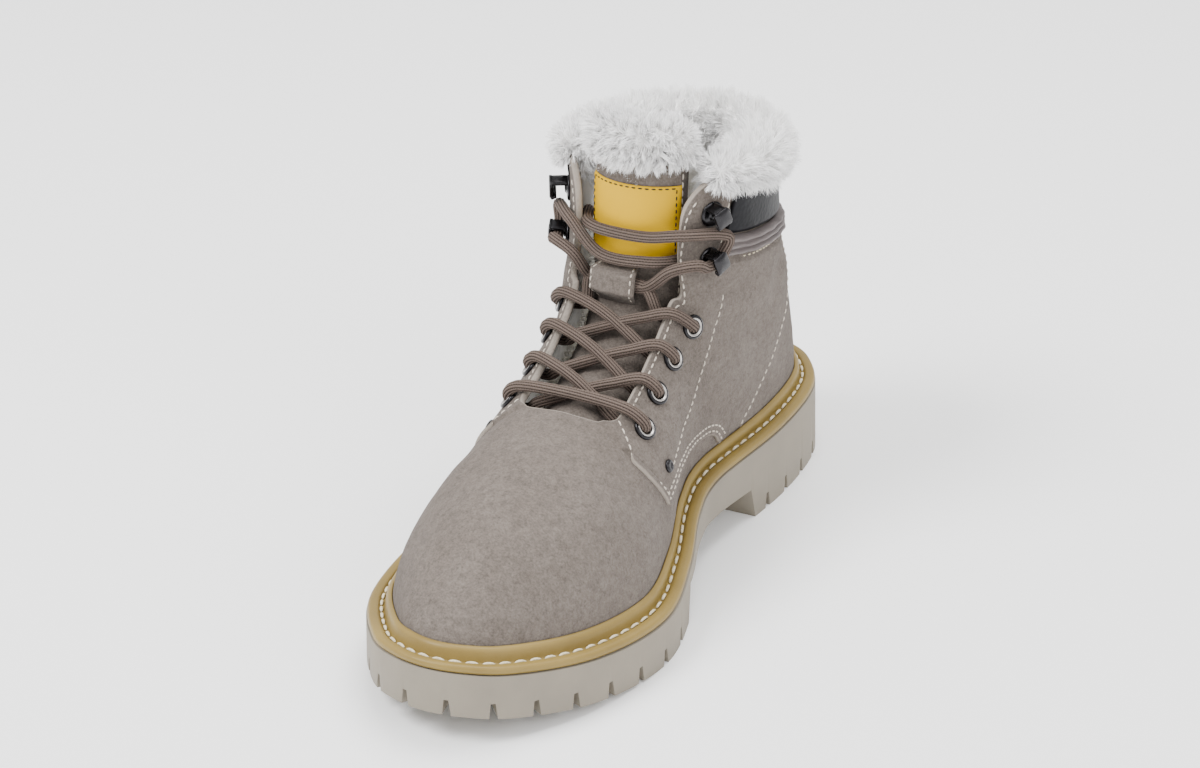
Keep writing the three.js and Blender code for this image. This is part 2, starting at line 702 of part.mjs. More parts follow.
// A piece that follows the tongue, between two distances from its face.
function tonguePatch(from, to, halfWidth, inside, outside, steps, lift = () => 0) {
  const rings = [];
  const acrossSteps = 10;
  for (let i = 0; i <= steps; i++) {
    const share = THREE.MathUtils.lerp(from, to, i / steps);
    const ring = [];
    const raise = lift(i / steps);
    for (let j = 0; j <= acrossSteps; j++) {
      ring.push(tonguePoint(share, halfWidth * (2 * j / acrossSteps - 1), outside + raise));
    }
    for (let j = acrossSteps; j >= 0; j--) {
      ring.push(tonguePoint(share, halfWidth * (2 * j / acrossSteps - 1), inside + raise));
    }
    rings.push(ring);
  }
  return loft(rings);
}

// The share of the tongue's middle line at a height.
function tongueShare(z) {
  let [low, high] = [0, 1];
  for (let i = 0; i < 24; i++) {
    const middle = (low + high) / 2;
    if (along(tongueRows, "z", middle) * collarHeight < z) low = middle;
    else high = middle;
  }
  return low;
}

// Where the label and the lace keeper sit, as shares of the collar height.
const labelSpan = { low: 0.835, high: 1.05 };
const keeperSpan = { low: 0.72, high: 0.825 };
const label = () =>
  tonguePatch(
    tongueShare(labelSpan.low * collarHeight), tongueShare(labelSpan.high * collarHeight),
    labelHalfWidth, fit, fit + labelThickness, 6);

// A tab over the tongue, sewn down at its sides, with room for the lace under its middle.
function keeper() {
  const from = tongueShare(keeperSpan.low * collarHeight);
  const to = tongueShare(keeperSpan.high * collarHeight);
  const room = 2 * laceRadius + 4 * fit;
  const rings = [];
  const steps = 6;
  const acrossSteps = 10;
  for (let i = 0; i <= steps; i++) {
    const share = THREE.MathUtils.lerp(from, to, i / steps);
    const edge = Math.abs(2 * i / steps - 1);
    const raise = fit + room * (1 - smooth((edge - 0.5) / 0.5));
    const ring = [];
    for (const out of [keeperThickness, 0]) {
      for (let j = 0; j <= acrossSteps; j++) {
        const k = out > 0 ? j : acrossSteps - j;
        const across = keeperAcross + keeperHalfWidth * (2 * k / acrossSteps - 1);
        ring.push(tonguePoint(share, across, raise + out));
      }
    }
    rings.push(ring);
  }
  return loft(rings);
}

// A lace through points, as a round tube.
function tube(points, steps) {
  const circle = new THREE.Shape(
    Array.from({ length: laceSides }, (_, i) => {
      const angle = (i / laceSides) * 2 * Math.PI;
      return new THREE.Vector2(laceRadius * Math.cos(angle), laceRadius * Math.sin(angle));
    }),
  );
  const extrudePath = new THREE.CatmullRomCurve3(points, false, "centripetal");
  return solidFrom(new THREE.ExtrudeGeometry(circle, { steps, extrudePath, bevelEnabled: false }));
}
const overEyelet = (place) =>
  upperOffset(place.side, place.round, place.up,
    overlay + eyeletSeat + eyeletFlange + laceRadius + 2 * fit);
const underEyelet = (place) =>
  upperOffset(place.side, place.round, place.up, -wall - laceRadius - 2 * fit);
const overEdge = (side, round) => upperOffset(side, round, 1, overlay + laceRadius + 3 * fit);
const beforeEdge = (side, round) =>
  upperOffset(side, round, 1, overlay).add(new THREE.Vector3(0, -laceRadius - 4 * fit, 0));
const underEdge = (side, round) => upperOffset(side, round, 1, -wall - laceRadius - curvedFit);
const overTongue = (z, across, lift) =>
  tonguePoint(tongueShare(z), across, 2 * fit + laceRadius + lift);
// Where the topline runs closest to an eyelet.
function edgeBeside(place) {
  const centre = upperPoint(place.side, place.round, place.up);
  const away = (round) => upperPoint(place.side, round, 1).distanceTo(centre);
  let best = place.round;
  for (let round = place.round - 0.1; round < place.round + 0.1; round += 0.002) {
    if (away(round) < away(best)) best = round;
  }
  return best;
}
const eyeletAt = (side, number) =>
  eyeletPlaces.find((place) => place.side === side && place.number === number);
const hookAt = (side, number) =>
  hookPlaces.find((place) => place.side === side && place.number === number);

function laceBar() {
  const [near, far] = [eyeletAt(1, 1), eyeletAt(-1, 1)];
  return tube([
    overEyelet(near), overEdge(1, edgeBeside(near)), overEdge(-1, edgeBeside(far)), overEyelet(far),
  ], 12);
}

// Two runs that cross over the tongue, from under one row of eyelets to over the next.
function laceCrossing(number) {
  const run = (side, lift) => {
    const [from, to] = [eyeletAt(side, number), eyeletAt(-side, number + 1)];
    const start = underEdge(side, edgeBeside(from));
    const end = overEdge(-side, edgeBeside(to));
    const middle = start.clone().lerp(end, 0.5);
    middle.z += lift;
    return tube([underEyelet(from), start, middle, end, overEyelet(to)], 11);
  };
  return run(1, crossingLift).add(run(-1, 2 * curvedFit));
}

// The run round a hook, in the hook's own frame: behind its neck and under its lip.
function roundHook(place) {
  const matrix = frameOn(place, overlay);
  const neckBack = hookBaseRadius - 1.5 * hookPlate;
  const height = 2 * fit + hookBaseThickness + 0.3 + laceRadius;
  const behind = neckBack - laceRadius - 2 * fit;
  const at = (x, y, z) => new THREE.Vector3(x, y, z).applyMatrix4(matrix);
  return {
    low: [at(-9, neckBack + 3, height + 1), at(-5.4, neckBack - 1.4, height)],
    middle: [at(0, behind, height)],
    high: [at(5.4, neckBack - 1.4, height), at(9, neckBack + 3, height + 1)],
  };
}

// The two runs above the eyelets: under the keeper, round the lower hooks and back across.
function laceTop() {
  const onLabel = fit + labelThickness + 2 * curvedFit;
  const beside = keeperHalfWidth + 1.3 * laceRadius;
  const keeperZ = (keeperSpan.low + keeperSpan.high) * collarHeight / 2;
  const run = (side, endZ, hookLow, hookHigh) => {
    const from = eyeletAt(side, eyeletsPerSide);
    const hook = roundHook(hookAt(-side, 1));
    return tube([
      upperOffset(side, from.round, from.up, -wall - laceRadius - curvedFit),
      underEdge(side, edgeBeside(from)),
      overTongue(keeperZ, keeperAcross + side * beside, 2 * fit),
      overTongue(keeperZ, keeperAcross, fit),
      overTongue(keeperZ, keeperAcross - side * beside, 3 * fit),
      beforeEdge(-side, hookLow), ...hook.low, ...hook.middle, ...hook.high,
      overEdge(-side, hookHigh), overTongue(endZ, -side * 8, onLabel),
      overTongue(endZ, side * 8, onLabel), overTongue(endZ, side * (labelHalfWidth - 4), onLabel),
    ], 40);
  };
  return run(1, 0.85 * collarHeight, 0.59, 0.63)
    .add(run(-1, 0.92 * collarHeight, 0.59, 0.635));
}

// The fur collar's section, out from the topline and up: share is 0 where the fur starts beside
// the tongue and 1 where it is full.
function furSection(full) {
  const outside = cuffThickness + 2 * curvedFit;
  const inside = -wall - 2 * curvedFit;
  return [
    [inside, 2 * fit], [outside, 2 * fit], [outside, -3 * full],
    [outside + 1 + full, -3 * full], [outside + 1.5 + 1.5 * full, 4],
    [outside + full, 9], [-2, furHeight - 2 + 2 * full],
    [-5 - 7 * full, furHeight - 3 + 2 * full], [-7 - 9 * full, 2], [-6 - 7 * full, -8],
    [inside - 1, -8],
  ];
}
const furStart = 0.735;
const furFull = 0.83;
const furPlaces = [];
const furSteps = 16;
for (let i = 0; i <= furSteps; i++) {
  furPlaces.push({ side: 1, round: THREE.MathUtils.lerp(furStart, 1, i / furSteps) });
}
for (let i = furSteps - 1; i >= 0; i--) {
  furPlaces.push({ side: -1, round: THREE.MathUtils.lerp(furStart, 1, i / furSteps) });
}
function furPoint({ side, round }, [out, up]) {
  const top = upperPoint(side, round, 1);
  const normal = upperNormal(side, round, 1).setZ(0).normalize();
  return top.addScaledVector(normal, out).add(new THREE.Vector3(0, 0, up));
}
function furRing(place) {
  const share = smooth((place.round - furStart) / (furFull - furStart));
  return furSection(share).map((corner) => furPoint(place, corner));
}

// One lock of fur: a blunt tuft with its root sunk in the pile.
function lock(root, direction, length) {
  const sunk = 1.2;
  const profile = [[0, -sunk], [1, -sunk], [0.75, length * 0.45], [0, length]];
  const geometry = new THREE.LatheGeometry(
    profile.map(([r, h]) => new THREE.Vector2(r * furLockRadius, h)), 4);
  const turn = new THREE.Quaternion().setFromUnitVectors(new THREE.Vector3(0, 1, 0), direction);
  geometry.applyQuaternion(turn);
  geometry.translate(root.x, root.y, root.z);
  return solidFrom(geometry);
}
// A number from 0 to 1 that looks random but is the same each time.
const vary = (i) => {
  const value = Math.sin(i * 12.9898) * 43758.5453;
  return value - Math.floor(value);
};

function furCollar() {
  const rings = furPlaces.map(furRing);
  const locks = [];
  const lockRows = [4, 5, 6];
  lockRows.forEach((corner, row) => {
    for (let i = 2 + (row % 2); i < rings.length - 2; i += 2) {
      const ring = rings[i];
      const [a, b] = [ring[corner], ring[corner + 1]];
      const hub = ring[0].clone().add(new THREE.Vector3(0, 0, 4));
      const root = a.clone().lerp(b, 0.5 * vary(i + 31 * row));
      const direction = root.clone().sub(hub).normalize();
      direction.z += 0.35 - 0.5 * vary(i * 7 + row);
      locks.push(lock(root, direction.normalize(), furLockLength * (0.8 + 0.5 * vary(i * 3 + row))));
    }
  });
  return loft(rings).add(unite(locks));
}

// The fur that stands over the tongue's top edge and hangs a little in front of it.
function furTongue() {
  const rings = [];
  const steps = 8;
  const reach = tongueHalfWidth - 1;
  const [before, last] = tongueRows.slice(-2);
  const climb = collarHeight * (last.z - before.z) / (last.at - before.at);
  const at = (across, out, up) => {
    const down = Math.min(up, 0);
    return tonguePoint(1 + down / climb, across, out).add(new THREE.Vector3(0, 0, up - down));
  };
  for (let i = 0; i <= steps; i++) {
    const across = THREE.MathUtils.lerp(-reach, reach, i / steps);
    const full = 1 - (across / (reach + 4)) ** 2;
    const back = -tongueThickness - 4 * fit;
    const corners = [
      [back, 4 * fit], [2 * fit, 4 * fit], [2 * fit, -3 * full], [1 + 2.5 * full, -3 * full],
      [1 + 5 * full, 3], [1 + 3.5 * full, furHeight], [-2, furHeight + 3 * full],
      [back - 5, furHeight], [back - 6, -1], [back - 4, -8], [back, -8],
    ];
    rings.push(corners.map(([out, up]) => at(across, out, up)));
  }
  const locks = [];
  for (let i = 2; i < steps - 1; i++) {
    for (const [corner, rise] of [[3, -0.8], [5, 0.4]]) {
      const root = rings[i][corner];
      const direction = root.clone().sub(rings[i][0]).normalize();
      direction.z += rise;
      locks.push(lock(root, direction.normalize(), furLockLength * (0.7 + 0.4 * vary(i * 5 + corner))));
    }
  }
  return loft(rings).add(unite(locks));
}

addPart("outsole", outsole(), materials.outsole);
addPart("welt", welt(), materials.welt);
addPart("insole", insole(), materials.insole);
addPart("upper", upper(), materials.suede);
addPart("cuff", band(cuffOutline, curvedFit, cuffThickness), materials.blackLeather);
addPart("padded_roll", band(rollOutline, curvedFit, rollThickness), materials.rollLeather);
addPart("tongue", tonguePatch(0, 1, tongueHalfWidth, -tongueThickness, 0, 14), materials.suede);
addPart("tongue_label", label(), materials.label);
addPart("lace_keeper", keeper(), materials.suede);
for (const place of eyeletPlaces) {
  addPart(`eyelet_${sideName(place.side)}_${place.number}`, eyelet(place), materials.metal);
}
for (const place of rivetPlaces) {
  addPart(`rivet_${sideName(place.side)}`, rivet(place), materials.metal);
}
for (const place of hookPlaces) {
  addPart(`hook_${sideName(place.side)}_${place.number}`, hook(place), materials.metal);
}
addPart("lace_bar", laceBar(), materials.lace);
for (let number = 1; number < eyeletsPerSide; number++) {
  addPart(`lace_crossing_${number}`, laceCrossing(number), materials.lace);
}
addPart("lace_top", laceTop(), materials.lace);
addPart("fur_collar", furCollar(), materials.fur);
addPart("fur_tongue", furTongue(), materials.fur);

export default boot;
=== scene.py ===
"""Looks of a lace-up winter boot for the right foot, built round its CAD model.

Shapes are worked out in millimetres with the same sections as the solids, and become metres when a
mesh is made. The toe points to -Y, the inner side of the foot is +X and the floor is z = 0.
"""

import math

import bmesh
import bpy
import numpy as np
from mathutils import Matrix, Vector


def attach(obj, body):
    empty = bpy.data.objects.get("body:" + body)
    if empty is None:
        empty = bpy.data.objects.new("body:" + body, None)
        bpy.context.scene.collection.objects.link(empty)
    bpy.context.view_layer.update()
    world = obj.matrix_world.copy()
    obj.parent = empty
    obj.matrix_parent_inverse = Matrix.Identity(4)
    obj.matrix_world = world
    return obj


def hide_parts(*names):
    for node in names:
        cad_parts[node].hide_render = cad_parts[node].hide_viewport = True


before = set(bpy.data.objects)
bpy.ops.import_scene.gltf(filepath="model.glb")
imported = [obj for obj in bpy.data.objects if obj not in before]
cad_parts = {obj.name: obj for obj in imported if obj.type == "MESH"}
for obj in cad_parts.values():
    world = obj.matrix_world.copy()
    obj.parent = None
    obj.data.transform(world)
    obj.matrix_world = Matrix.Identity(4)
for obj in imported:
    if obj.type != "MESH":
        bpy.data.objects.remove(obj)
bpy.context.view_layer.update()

MM = 0.001
rng = np.random.default_rng(7)

# Driving sizes, as in the solids
SOLE_LENGTH = 300
BALL_WIDTH = 112
COLLAR_HEIGHT = 145
FIT = 0.3
CURVED_FIT = 0.6
FOREFOOT_THICKNESS = 17.5
HEEL_HEIGHT = 29.5
TOE_SPRING = 12
ARCH_HEIGHT = 14.5
SOLE_FLARE = 1.5
LUG_HEIGHT = 6.5
LUG_PITCH = 16.5
LUG_SLOT_WIDTH = 2.6
LUG_SLOT_DEPTH = 17
TREAD_DEPTH = 4.5
TREAD_BAR_WIDTH = 9
HEEL_LENGTH = 98
SPRING_FROM = 0.7
ARCH_FRONT = 0.62
TREAD_FRONT = 0.93
WELT_WIDTH = 9
WELT_THICKNESS = 3.2
RIDGE_HEIGHT = 4.4
RIDGE_WIDTH = 3
WALL = 3
OVERLAY = 1.4
NOTCH_DEPTH = 0.07
INSOLE_THICKNESS = 5
CUFF_THICKNESS = 2
ROLL_THICKNESS = 3.6
EYELET_RADIUS = 4.9
EYELET_BORE = 2.7
EYELET_SEAT = 0.6
EYELET_FLANGE = 0.9
RIVET_RADIUS = 2.6
HOOK_BASE_RADIUS = 5.2
HOOK_BASE_THICKNESS = 1.1
HOOK_WIDTH = 7
HOOK_PLATE = 1.3
HOOK_HEIGHT = 7.4
HOOK_NECK = 5
TONGUE_THICKNESS = 3.5
TONGUE_HALF_WIDTH = 20.5
TONGUE_RADIUS = 22
TONGUE_LENGTH = 240
LABEL_HALF_WIDTH = 18
LABEL_THICKNESS = 0.8
KEEPER_HALF_WIDTH = 8
KEEPER_ACROSS = -3
KEEPER_THICKNESS = 1.2
LACE_RADIUS = 2.3
LACE_RIBS = 11
CROSSING_LIFT = 3.6
FUR_HEIGHT = 12


# Shape of the last
def clamp01(t):
    return np.clip(t, 0, 1)


def smooth(t):
    c = clamp01(t)
    return c * c * (3 - 2 * c)


def unit(v):
    return v / np.maximum(np.linalg.norm(v, axis=-1, keepdims=True), 1e-9)


# Sole outline: share of the length from the heel, and half widths to the inner and outer side.
SOLE_ROWS = [
    (0, 0, 0), (0.012, 0.13, 0.13), (0.045, 0.245, 0.25), (0.12, 0.344, 0.348),
    (0.25, 0.366, 0.376), (0.42, 0.322, 0.395), (0.5, 0.345, 0.422), (0.6, 0.43, 0.468),
    (0.72, 0.49, 0.5), (0.85, 0.412, 0.43), (0.95, 0.255, 0.262), (0.987, 0.132, 0.134),
    (1, 0, 0),
]


def cubic(t, start, leaving, end, arriving):
    """A value on its way from start to end, with the slopes that it leaves and arrives at."""
    t2, t3 = t * t, t * t * t
    return ((2 * t3 - 3 * t2 + 1) * start + (t3 - 2 * t2 + t) * leaving
            + (3 * t2 - 2 * t3) * end + (t3 - t2) * arriving)


def outline_curve(steps=1440):
    """The closed outline through the rows, as evenly spaced parameters of a cubic."""
    inner = [(i * BALL_WIDTH, SOLE_LENGTH * (0.5 - f)) for f, i, _ in SOLE_ROWS]
    outer = [(-o * BALL_WIDTH, SOLE_LENGTH * (0.5 - f)) for f, _, o in SOLE_ROWS[1:-1]]
    points = np.array(inner + outer[::-1], float)
    n = len(points)
    at = np.arange(steps) / steps * n
    k = at.astype(int)
    t = (at - k)[:, None]
    p0, p1, p2, p3 = (points[(k + d) % n] for d in (-1, 0, 1, 2))
    return cubic(t, p1, (p2 - p0) / 2, p2, (p3 - p1) / 2)


def smooth_section(corners, steps):
    """A smooth closed section through corners: points, or whole rows of them."""
    made = []
    for k in range(len(corners)):
        p0, p1, p2, p3 = (corners[(k + d) % len(corners)] for d in (-1, 0, 1, 2))
        made += [cubic(i / steps, p1, (p2 - p0) / 2, p2, (p3 - p1) / 2) for i in range(steps)]
    return np.array(made)


def walk_sides():
    """Each side's way along the outline from the toe to the heel, with the distance walked."""
    points = outline_curve()
    toe, heel = points[:, 1].argmin(), points[:, 1].argmax()
    walks = {}
    for side in (1, -1):
        count = (side * (toe - heel)) % len(points)
        walk = points[(toe - side * np.arange(count + 1)) % len(points)]
        steps = np.linalg.norm(np.diff(walk, axis=0), axis=1)
        walks[side] = (walk, np.concatenate([[0], np.cumsum(steps)]))
    return walks


WALKS = walk_sides()


def outline_at(side, share, outwards=0.0):
    """Points (x, y) of the outline moved outwards, from the toe (0) to the heel (1)."""
    walk, distance = WALKS[side]
    total = distance[-1]
    at = clamp01(share) * total

    def place(d):
        return np.stack([np.interp(d, distance, walk[:, 0]), np.interp(d, distance, walk[:, 1])], -1)

    reach = 2.5
    ahead = place(np.minimum(at + reach, total)) - place(np.maximum(at - reach, 0))
    normal = unit(np.stack([-ahead[..., 1], ahead[..., 0]], -1)) * -side
    share = np.asarray(share, float)[..., None]
    end = np.where(share < 0.5, -1.0, 1.0) * np.array([0.0, 1.0])
    blend = smooth(np.minimum(share, 1 - share) / 0.008)
    normal = unit(normal * blend + end * (1 - blend))
    return place(at) + normal * np.asarray(outwards, float)[..., None]


def ring_at(ways, outwards):
    """The outline moved outwards, at ways round it."""
    return both_sides(lambda side, at: outline_at(side, at, np.full(at.shape, float(outwards))), ways)


def from_heel(y):
    return 0.5 - y / SOLE_LENGTH


def along_sole(share):
    """The place y of a share of the sole's length from the heel."""
    return SOLE_LENGTH * (0.5 - share)


def spring_at(y):
    return TOE_SPRING * np.maximum(0, (from_heel(y) - SPRING_FROM) / (1 - SPRING_FROM)) ** 2


def sole_top(y):
    rise = smooth((0.68 - from_heel(y)) / 0.28)
    return FOREFOOT_THICKNESS + (HEEL_HEIGHT - FOREFOOT_THICKNESS) * rise + spring_at(y)


def hermite(table, column, at):
    """A smooth value through the rows of a table, at places along its first column."""
    places, values = table[:, 0], table[:, column]
    at = np.asarray(at, float)
    slopes = np.gradient(values)
    slopes[1:-1] = (values[2:] - values[:-2]) / (places[2:] - places[:-2])
    slopes[0] = (values[1] - values[0]) / (places[1] - places[0])
    slopes[-1] = (values[-1] - values[-2]) / (places[-1] - places[-2])
    k = np.clip(np.searchsorted(places, at, side="left") - 1, 0, len(places) - 2)
    h = places[k + 1] - places[k]
    return cubic((at - places[k]) / h, values[k], h * slopes[k], values[k + 1], h * slopes[k + 1])


# Sections of the upper from the toe (0) to the heel (1): place, topline x, y, z, bulge and rise
# out of the welt, and the arm x, y, z into the topline, as shares of the driving sizes.
UPPER_ROWS = [
    (0, 0, -0.14, 0.565, 0.018, 0.2, 0, -0.14, -0.062),
    (0.1, 0.075, -0.139, 0.56, 0.018, 0.193, 0.08, -0.127, -0.07),
    (0.2, 0.14, -0.133, 0.551, 0.018, 0.172, 0.15, -0.093, -0.09),
    (0.3, 0.178, -0.115, 0.545, 0.018, 0.152, 0.178, -0.04, -0.135),
    (0.36, 0.181, -0.087, 0.565, 0.022, 0.152, 0.165, -0.027, -0.142),
    (0.42, 0.179, -0.043, 0.61, 0.036, 0.166, 0.14, -0.02, -0.135),
    (0.5, 0.179, 0.02, 0.7, 0.045, 0.186, 0.107, -0.007, -0.138),
    (0.56, 0.183, 0.048, 0.779, 0.05, 0.193, 0.107, 0.01, -0.172),
    (0.62, 0.19, 0.058, 0.91, 0.05, 0.2, 0.112, 0.018, -0.22),
    (0.68, 0.205, 0.067, 1.005, 0.045, 0.207, 0.107, 0.03, -0.262),
    (0.725, 0.255, 0.092, 1.06, 0.04, 0.207, 0.067, 0.035, -0.276),
    (0.78, 0.325, 0.145, 1.045, 0.036, 0.207, 0.009, 0.03, -0.276),
    (0.86, 0.318, 0.245, 1.021, 0.03, 0.207, -0.027, 0.012, -0.262),
    (0.93, 0.205, 0.332, 1.003, 0.032, 0.2, -0.03, -0.015, -0.262),
    (1, 0, 0.368, 1, 0.045, 0.2, 0, -0.025, -0.262),
]
TOP_X, TOP_Y, TOP_Z, BULGE, RISE, ARM_X, ARM_Y, ARM_Z = range(1, 9)


def mirrored(rows, odd):
    """The rows with the other side's mirror image before the toe and after the heel."""
    table = np.array(rows, float)
    flip = np.ones(table.shape[1])
    flip[list(odd)] = -1
    before = table[2:0:-1] * flip
    before[:, 0] = -table[2:0:-1, 0]
    after = table[-2:-4:-1] * flip
    after[:, 0] = 2 * table[-1, 0] - table[-2:-4:-1, 0]
    return np.vstack([before, table, after])


UPPER_TABLE = mirrored(UPPER_ROWS, (TOP_X, ARM_X))


def edge_trim(at):
    """The share of the wall that is left at the notch over the last eyelet."""
    return 1 - NOTCH_DEPTH * np.exp(-(((at - 0.572) / 0.02) ** 2))


def both_sides(function, way, *rest):
    """Calls function(side, share, ...) where way goes from the inner toe (0) to the heel (1) and
    on to the outer toe (2)."""
    way, *rest = np.broadcast_arrays(np.asarray(way, float), *(np.asarray(r, float) for r in rest))
    inner = way <= 1
    made = function(1, np.where(inner, way, 1), *rest)
    other = function(-1, np.where(inner, 1, 2 - way), *rest)
    return np.where(inner[..., None], made, other)


def section_point(side, at, up):
    """A point of the upper's outer face: at from toe to heel, up from the welt to the topline."""
    foot2 = outline_at(side, at, np.full(np.shape(at), -float(WELT_WIDTH)))
    out = outline_at(side, at, np.zeros(np.shape(at))) - outline_at(side, at, -np.ones(np.shape(at)))
    foot = np.concatenate([foot2, (sole_top(foot2[..., 1]) + FIT)[..., None]], -1)
    size = np.array([side * BALL_WIDTH, SOLE_LENGTH, COLLAR_HEIGHT])
    top = np.stack([hermite(UPPER_TABLE, c, at) for c in (TOP_X, TOP_Y, TOP_Z)], -1) * size
    arm = np.stack([hermite(UPPER_TABLE, c, at) for c in (ARM_X, ARM_Y, ARM_Z)], -1) * size
    low = foot.copy()
    low[..., :2] += out * (hermite(UPPER_TABLE, BULGE, at) * BALL_WIDTH)[..., None]
    low[..., 2] += hermite(UPPER_TABLE, RISE, at) * COLLAR_HEIGHT
    high = top + arm
    u = np.asarray(up, float)[..., None]
    v = 1 - u
    return foot * v**3 + low * 3 * v**2 * u + high * 3 * v * u**2 + top * u**3


def upper_point(way, up):
    return both_sides(section_point, way, up)


def upper_normal(way, up):
    step = 0.004
    way, up = np.broadcast_arrays(np.asarray(way, float), np.asarray(up, float))
    around = upper_point((way + step) % 2, up) - upper_point((way - step) % 2, up)
    upwards = upper_point(way, clamp01(up + step)) - upper_point(way, clamp01(up - step))
    return unit(np.cross(around, upwards))


def upper_offset(way, up, distance):
    p = upper_point(way, up) + upper_normal(way, up) * np.asarray(distance, float)[..., None]
    floor = sole_top(p[..., 1]) + FIT
    p[..., 2] = np.where(np.asarray(up) <= 1e-6, floor, p[..., 2])
    return p


def arm_length(at):
    """The length of the curve's upper arm into the topline."""
    arm = [hermite(UPPER_TABLE, c, at) * s for c, s in (
        (ARM_X, BALL_WIDTH), (ARM_Y, SOLE_LENGTH), (ARM_Z, COLLAR_HEIGHT))]
    return np.linalg.norm(np.stack(arm, -1), axis=-1)


def up_at(way, wanted):
    """How far up a column is where its side view reaches the height wanted(y)."""
    low, high = np.zeros(np.shape(way)), np.ones(np.shape(way))
    for _ in range(22):
        middle = (low + high) / 2
        p = upper_point(way, middle)
        below = p[..., 2] < wanted(p[..., 1])
        low, high = np.where(below, middle, low), np.where(below, high, middle)
    return low


def place_on(side, y, z):
    """The place (way, up) on one side of the upper that is this far back and this high."""
    y, z = np.broadcast_arrays(np.asarray(y, float), np.asarray(z, float))
    at, up = np.full(y.shape, 0.5), np.full(y.shape, 0.8)
    step = 0.001
    for _ in range(40):
        p = section_point(side, at, up)
        a = (section_point(side, at + step, up) - p) / step
        b = (section_point(side, at, up + step) - p) / step
        det = a[..., 1] * b[..., 2] - a[..., 2] * b[..., 1]
        dy, dz = y - p[..., 1], z - p[..., 2]
        at = np.clip(at + 0.5 * (dy * b[..., 2] - dz * b[..., 1]) / det, 0.3, 0.97)
        up = np.clip(up + 0.5 * (a[..., 1] * dz - a[..., 2] * dy) / det, 0.02, 1)
    return (at if side == 1 else 2 - at), up


# Meshes
def face_outwards(mesh):
    made = bmesh.new()
    made.from_mesh(mesh)
    bmesh.ops.recalc_face_normals(made, faces=made.faces)
    made.to_mesh(mesh)
    made.free()


def new_piece(name, points, faces, material, slot=None, stands_for=(), flat=False, uv=None):
    """A mesh from points in millimetres, riding on the boot. uv has one pair for each point."""
    mesh = bpy.data.meshes.new(name)
    mesh.from_pydata((np.asarray(points, float).reshape(-1, 3) * MM).tolist(), [], faces)
    mesh.validate()
    if uv is not None:
        layer = mesh.uv_layers.new(name="UVMap")
        loops = np.zeros(len(mesh.loops), int)
        mesh.loops.foreach_get("vertex_index", loops)
        layer.data.foreach_set("uv", np.asarray(uv, np.float32)[loops].ravel())
    piece = bpy.data.objects.new(name, mesh)
    bpy.context.scene.collection.objects.link(piece)
    face_outwards(mesh)
    mesh.polygons.foreach_set("use_smooth", [not flat] * len(mesh.polygons))
    mesh.materials.append(material)
    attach(piece, "root")
    if stands_for:
        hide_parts(*stands_for)
    return piece


def grid_faces(rows, columns, closed_rows=False, closed_columns=False, start=0):
    """The quads of a grid of points, row by row."""
    r = np.arange(rows if closed_rows else rows - 1)
    c = np.arange(columns if closed_columns else columns - 1)
    r, c = np.meshgrid(r, c, indexing="ij")
    r1, c1 = (r + 1) % rows, (c + 1) % columns
    quads = np.stack([r * columns + c, r * columns + c1, r1 * columns + c1, r1 * columns + c], -1)
    return (quads.reshape(-1, 4) + start).tolist()


def caps(rows, columns):
    """The two ends of a tube, as faces."""
    return [list(range(columns))[::-1], [(rows - 1) * columns + i for i in range(columns)]]


def shell(outer, inner, closed_columns=False):
    """Points and faces of a sheet with two faces, closed round its edges."""
    grid = np.concatenate([outer, inner[::-1]])
    rows, columns = grid.shape[:2]
    faces = grid_faces(rows, columns, True, closed_columns)
    if not closed_columns:
        half = rows // 2
        for c in (0, columns - 1):
            for r in range(half - 1):
                a, b = r * columns + c, (r + 1) * columns + c
                d, e = (rows - 1 - r) * columns + c, (rows - 2 - r) * columns + c
                faces.append([a, b, e, d])
    return grid.reshape(-1, 3), faces


class Parts:
    """Several small shapes gathered into one mesh."""

    def __init__(self):
        self.points, self.faces, self.uv, self.count = [], [], [], 0

    def add(self, points, faces, uv=None):
        points = np.asarray(points, float).reshape(-1, 3)
        self.faces += [[i + self.count for i in face] for face in faces]
        self.points.append(points)
        self.uv.append(np.zeros((len(points), 2)) if uv is None else np.asarray(uv, float).reshape(-1, 2))
        self.count += len(points)

    def piece(self, name, material, **rest):
        return new_piece(name, np.vstack(self.points), self.faces, material,
                         uv=np.vstack(self.uv), **rest)


def spline(points, spacing):
    """Points at an even spacing along a smooth curve through the given ones."""
    p = np.asarray(points, float)
    p = np.vstack([2 * p[0] - p[1], p, 2 * p[-1] - p[-2]])
    made = []
    for k in range(1, len(p) - 2):
        p0, p1, p2, p3 = p[k - 1:k + 3]
        t0, t1, t2, t3 = np.cumsum([0] + [max(np.linalg.norm(b - a), 1e-6) ** 0.5
                                         for a, b in ((p0, p1), (p1, p2), (p2, p3))])
        t = np.linspace(t1, t2, 24, endpoint=False)[:, None]
        a1 = (t1 - t) / (t1 - t0) * p0 + (t - t0) / (t1 - t0) * p1
        a2 = (t2 - t) / (t2 - t1) * p1 + (t - t1) / (t2 - t1) * p2
        a3 = (t3 - t) / (t3 - t2) * p2 + (t - t2) / (t3 - t2) * p3
        b1 = (t2 - t) / (t2 - t0) * a1 + (t - t0) / (t2 - t0) * a2
        b2 = (t3 - t) / (t3 - t1) * a2 + (t - t1) / (t3 - t1) * a3
        made.append((t2 - t) / (t2 - t1) * b1 + (t - t1) / (t2 - t1) * b2)
    made.append(p[-2:-1])
    dense = np.vstack(made)
    distance = np.concatenate([[0], np.cumsum(np.linalg.norm(np.diff(dense, axis=0), axis=1))])
    at = np.linspace(0, distance[-1], max(int(distance[-1] / spacing), 2) + 1)
    return np.stack([np.interp(at, distance, dense[:, i]) for i in range(3)], -1), at


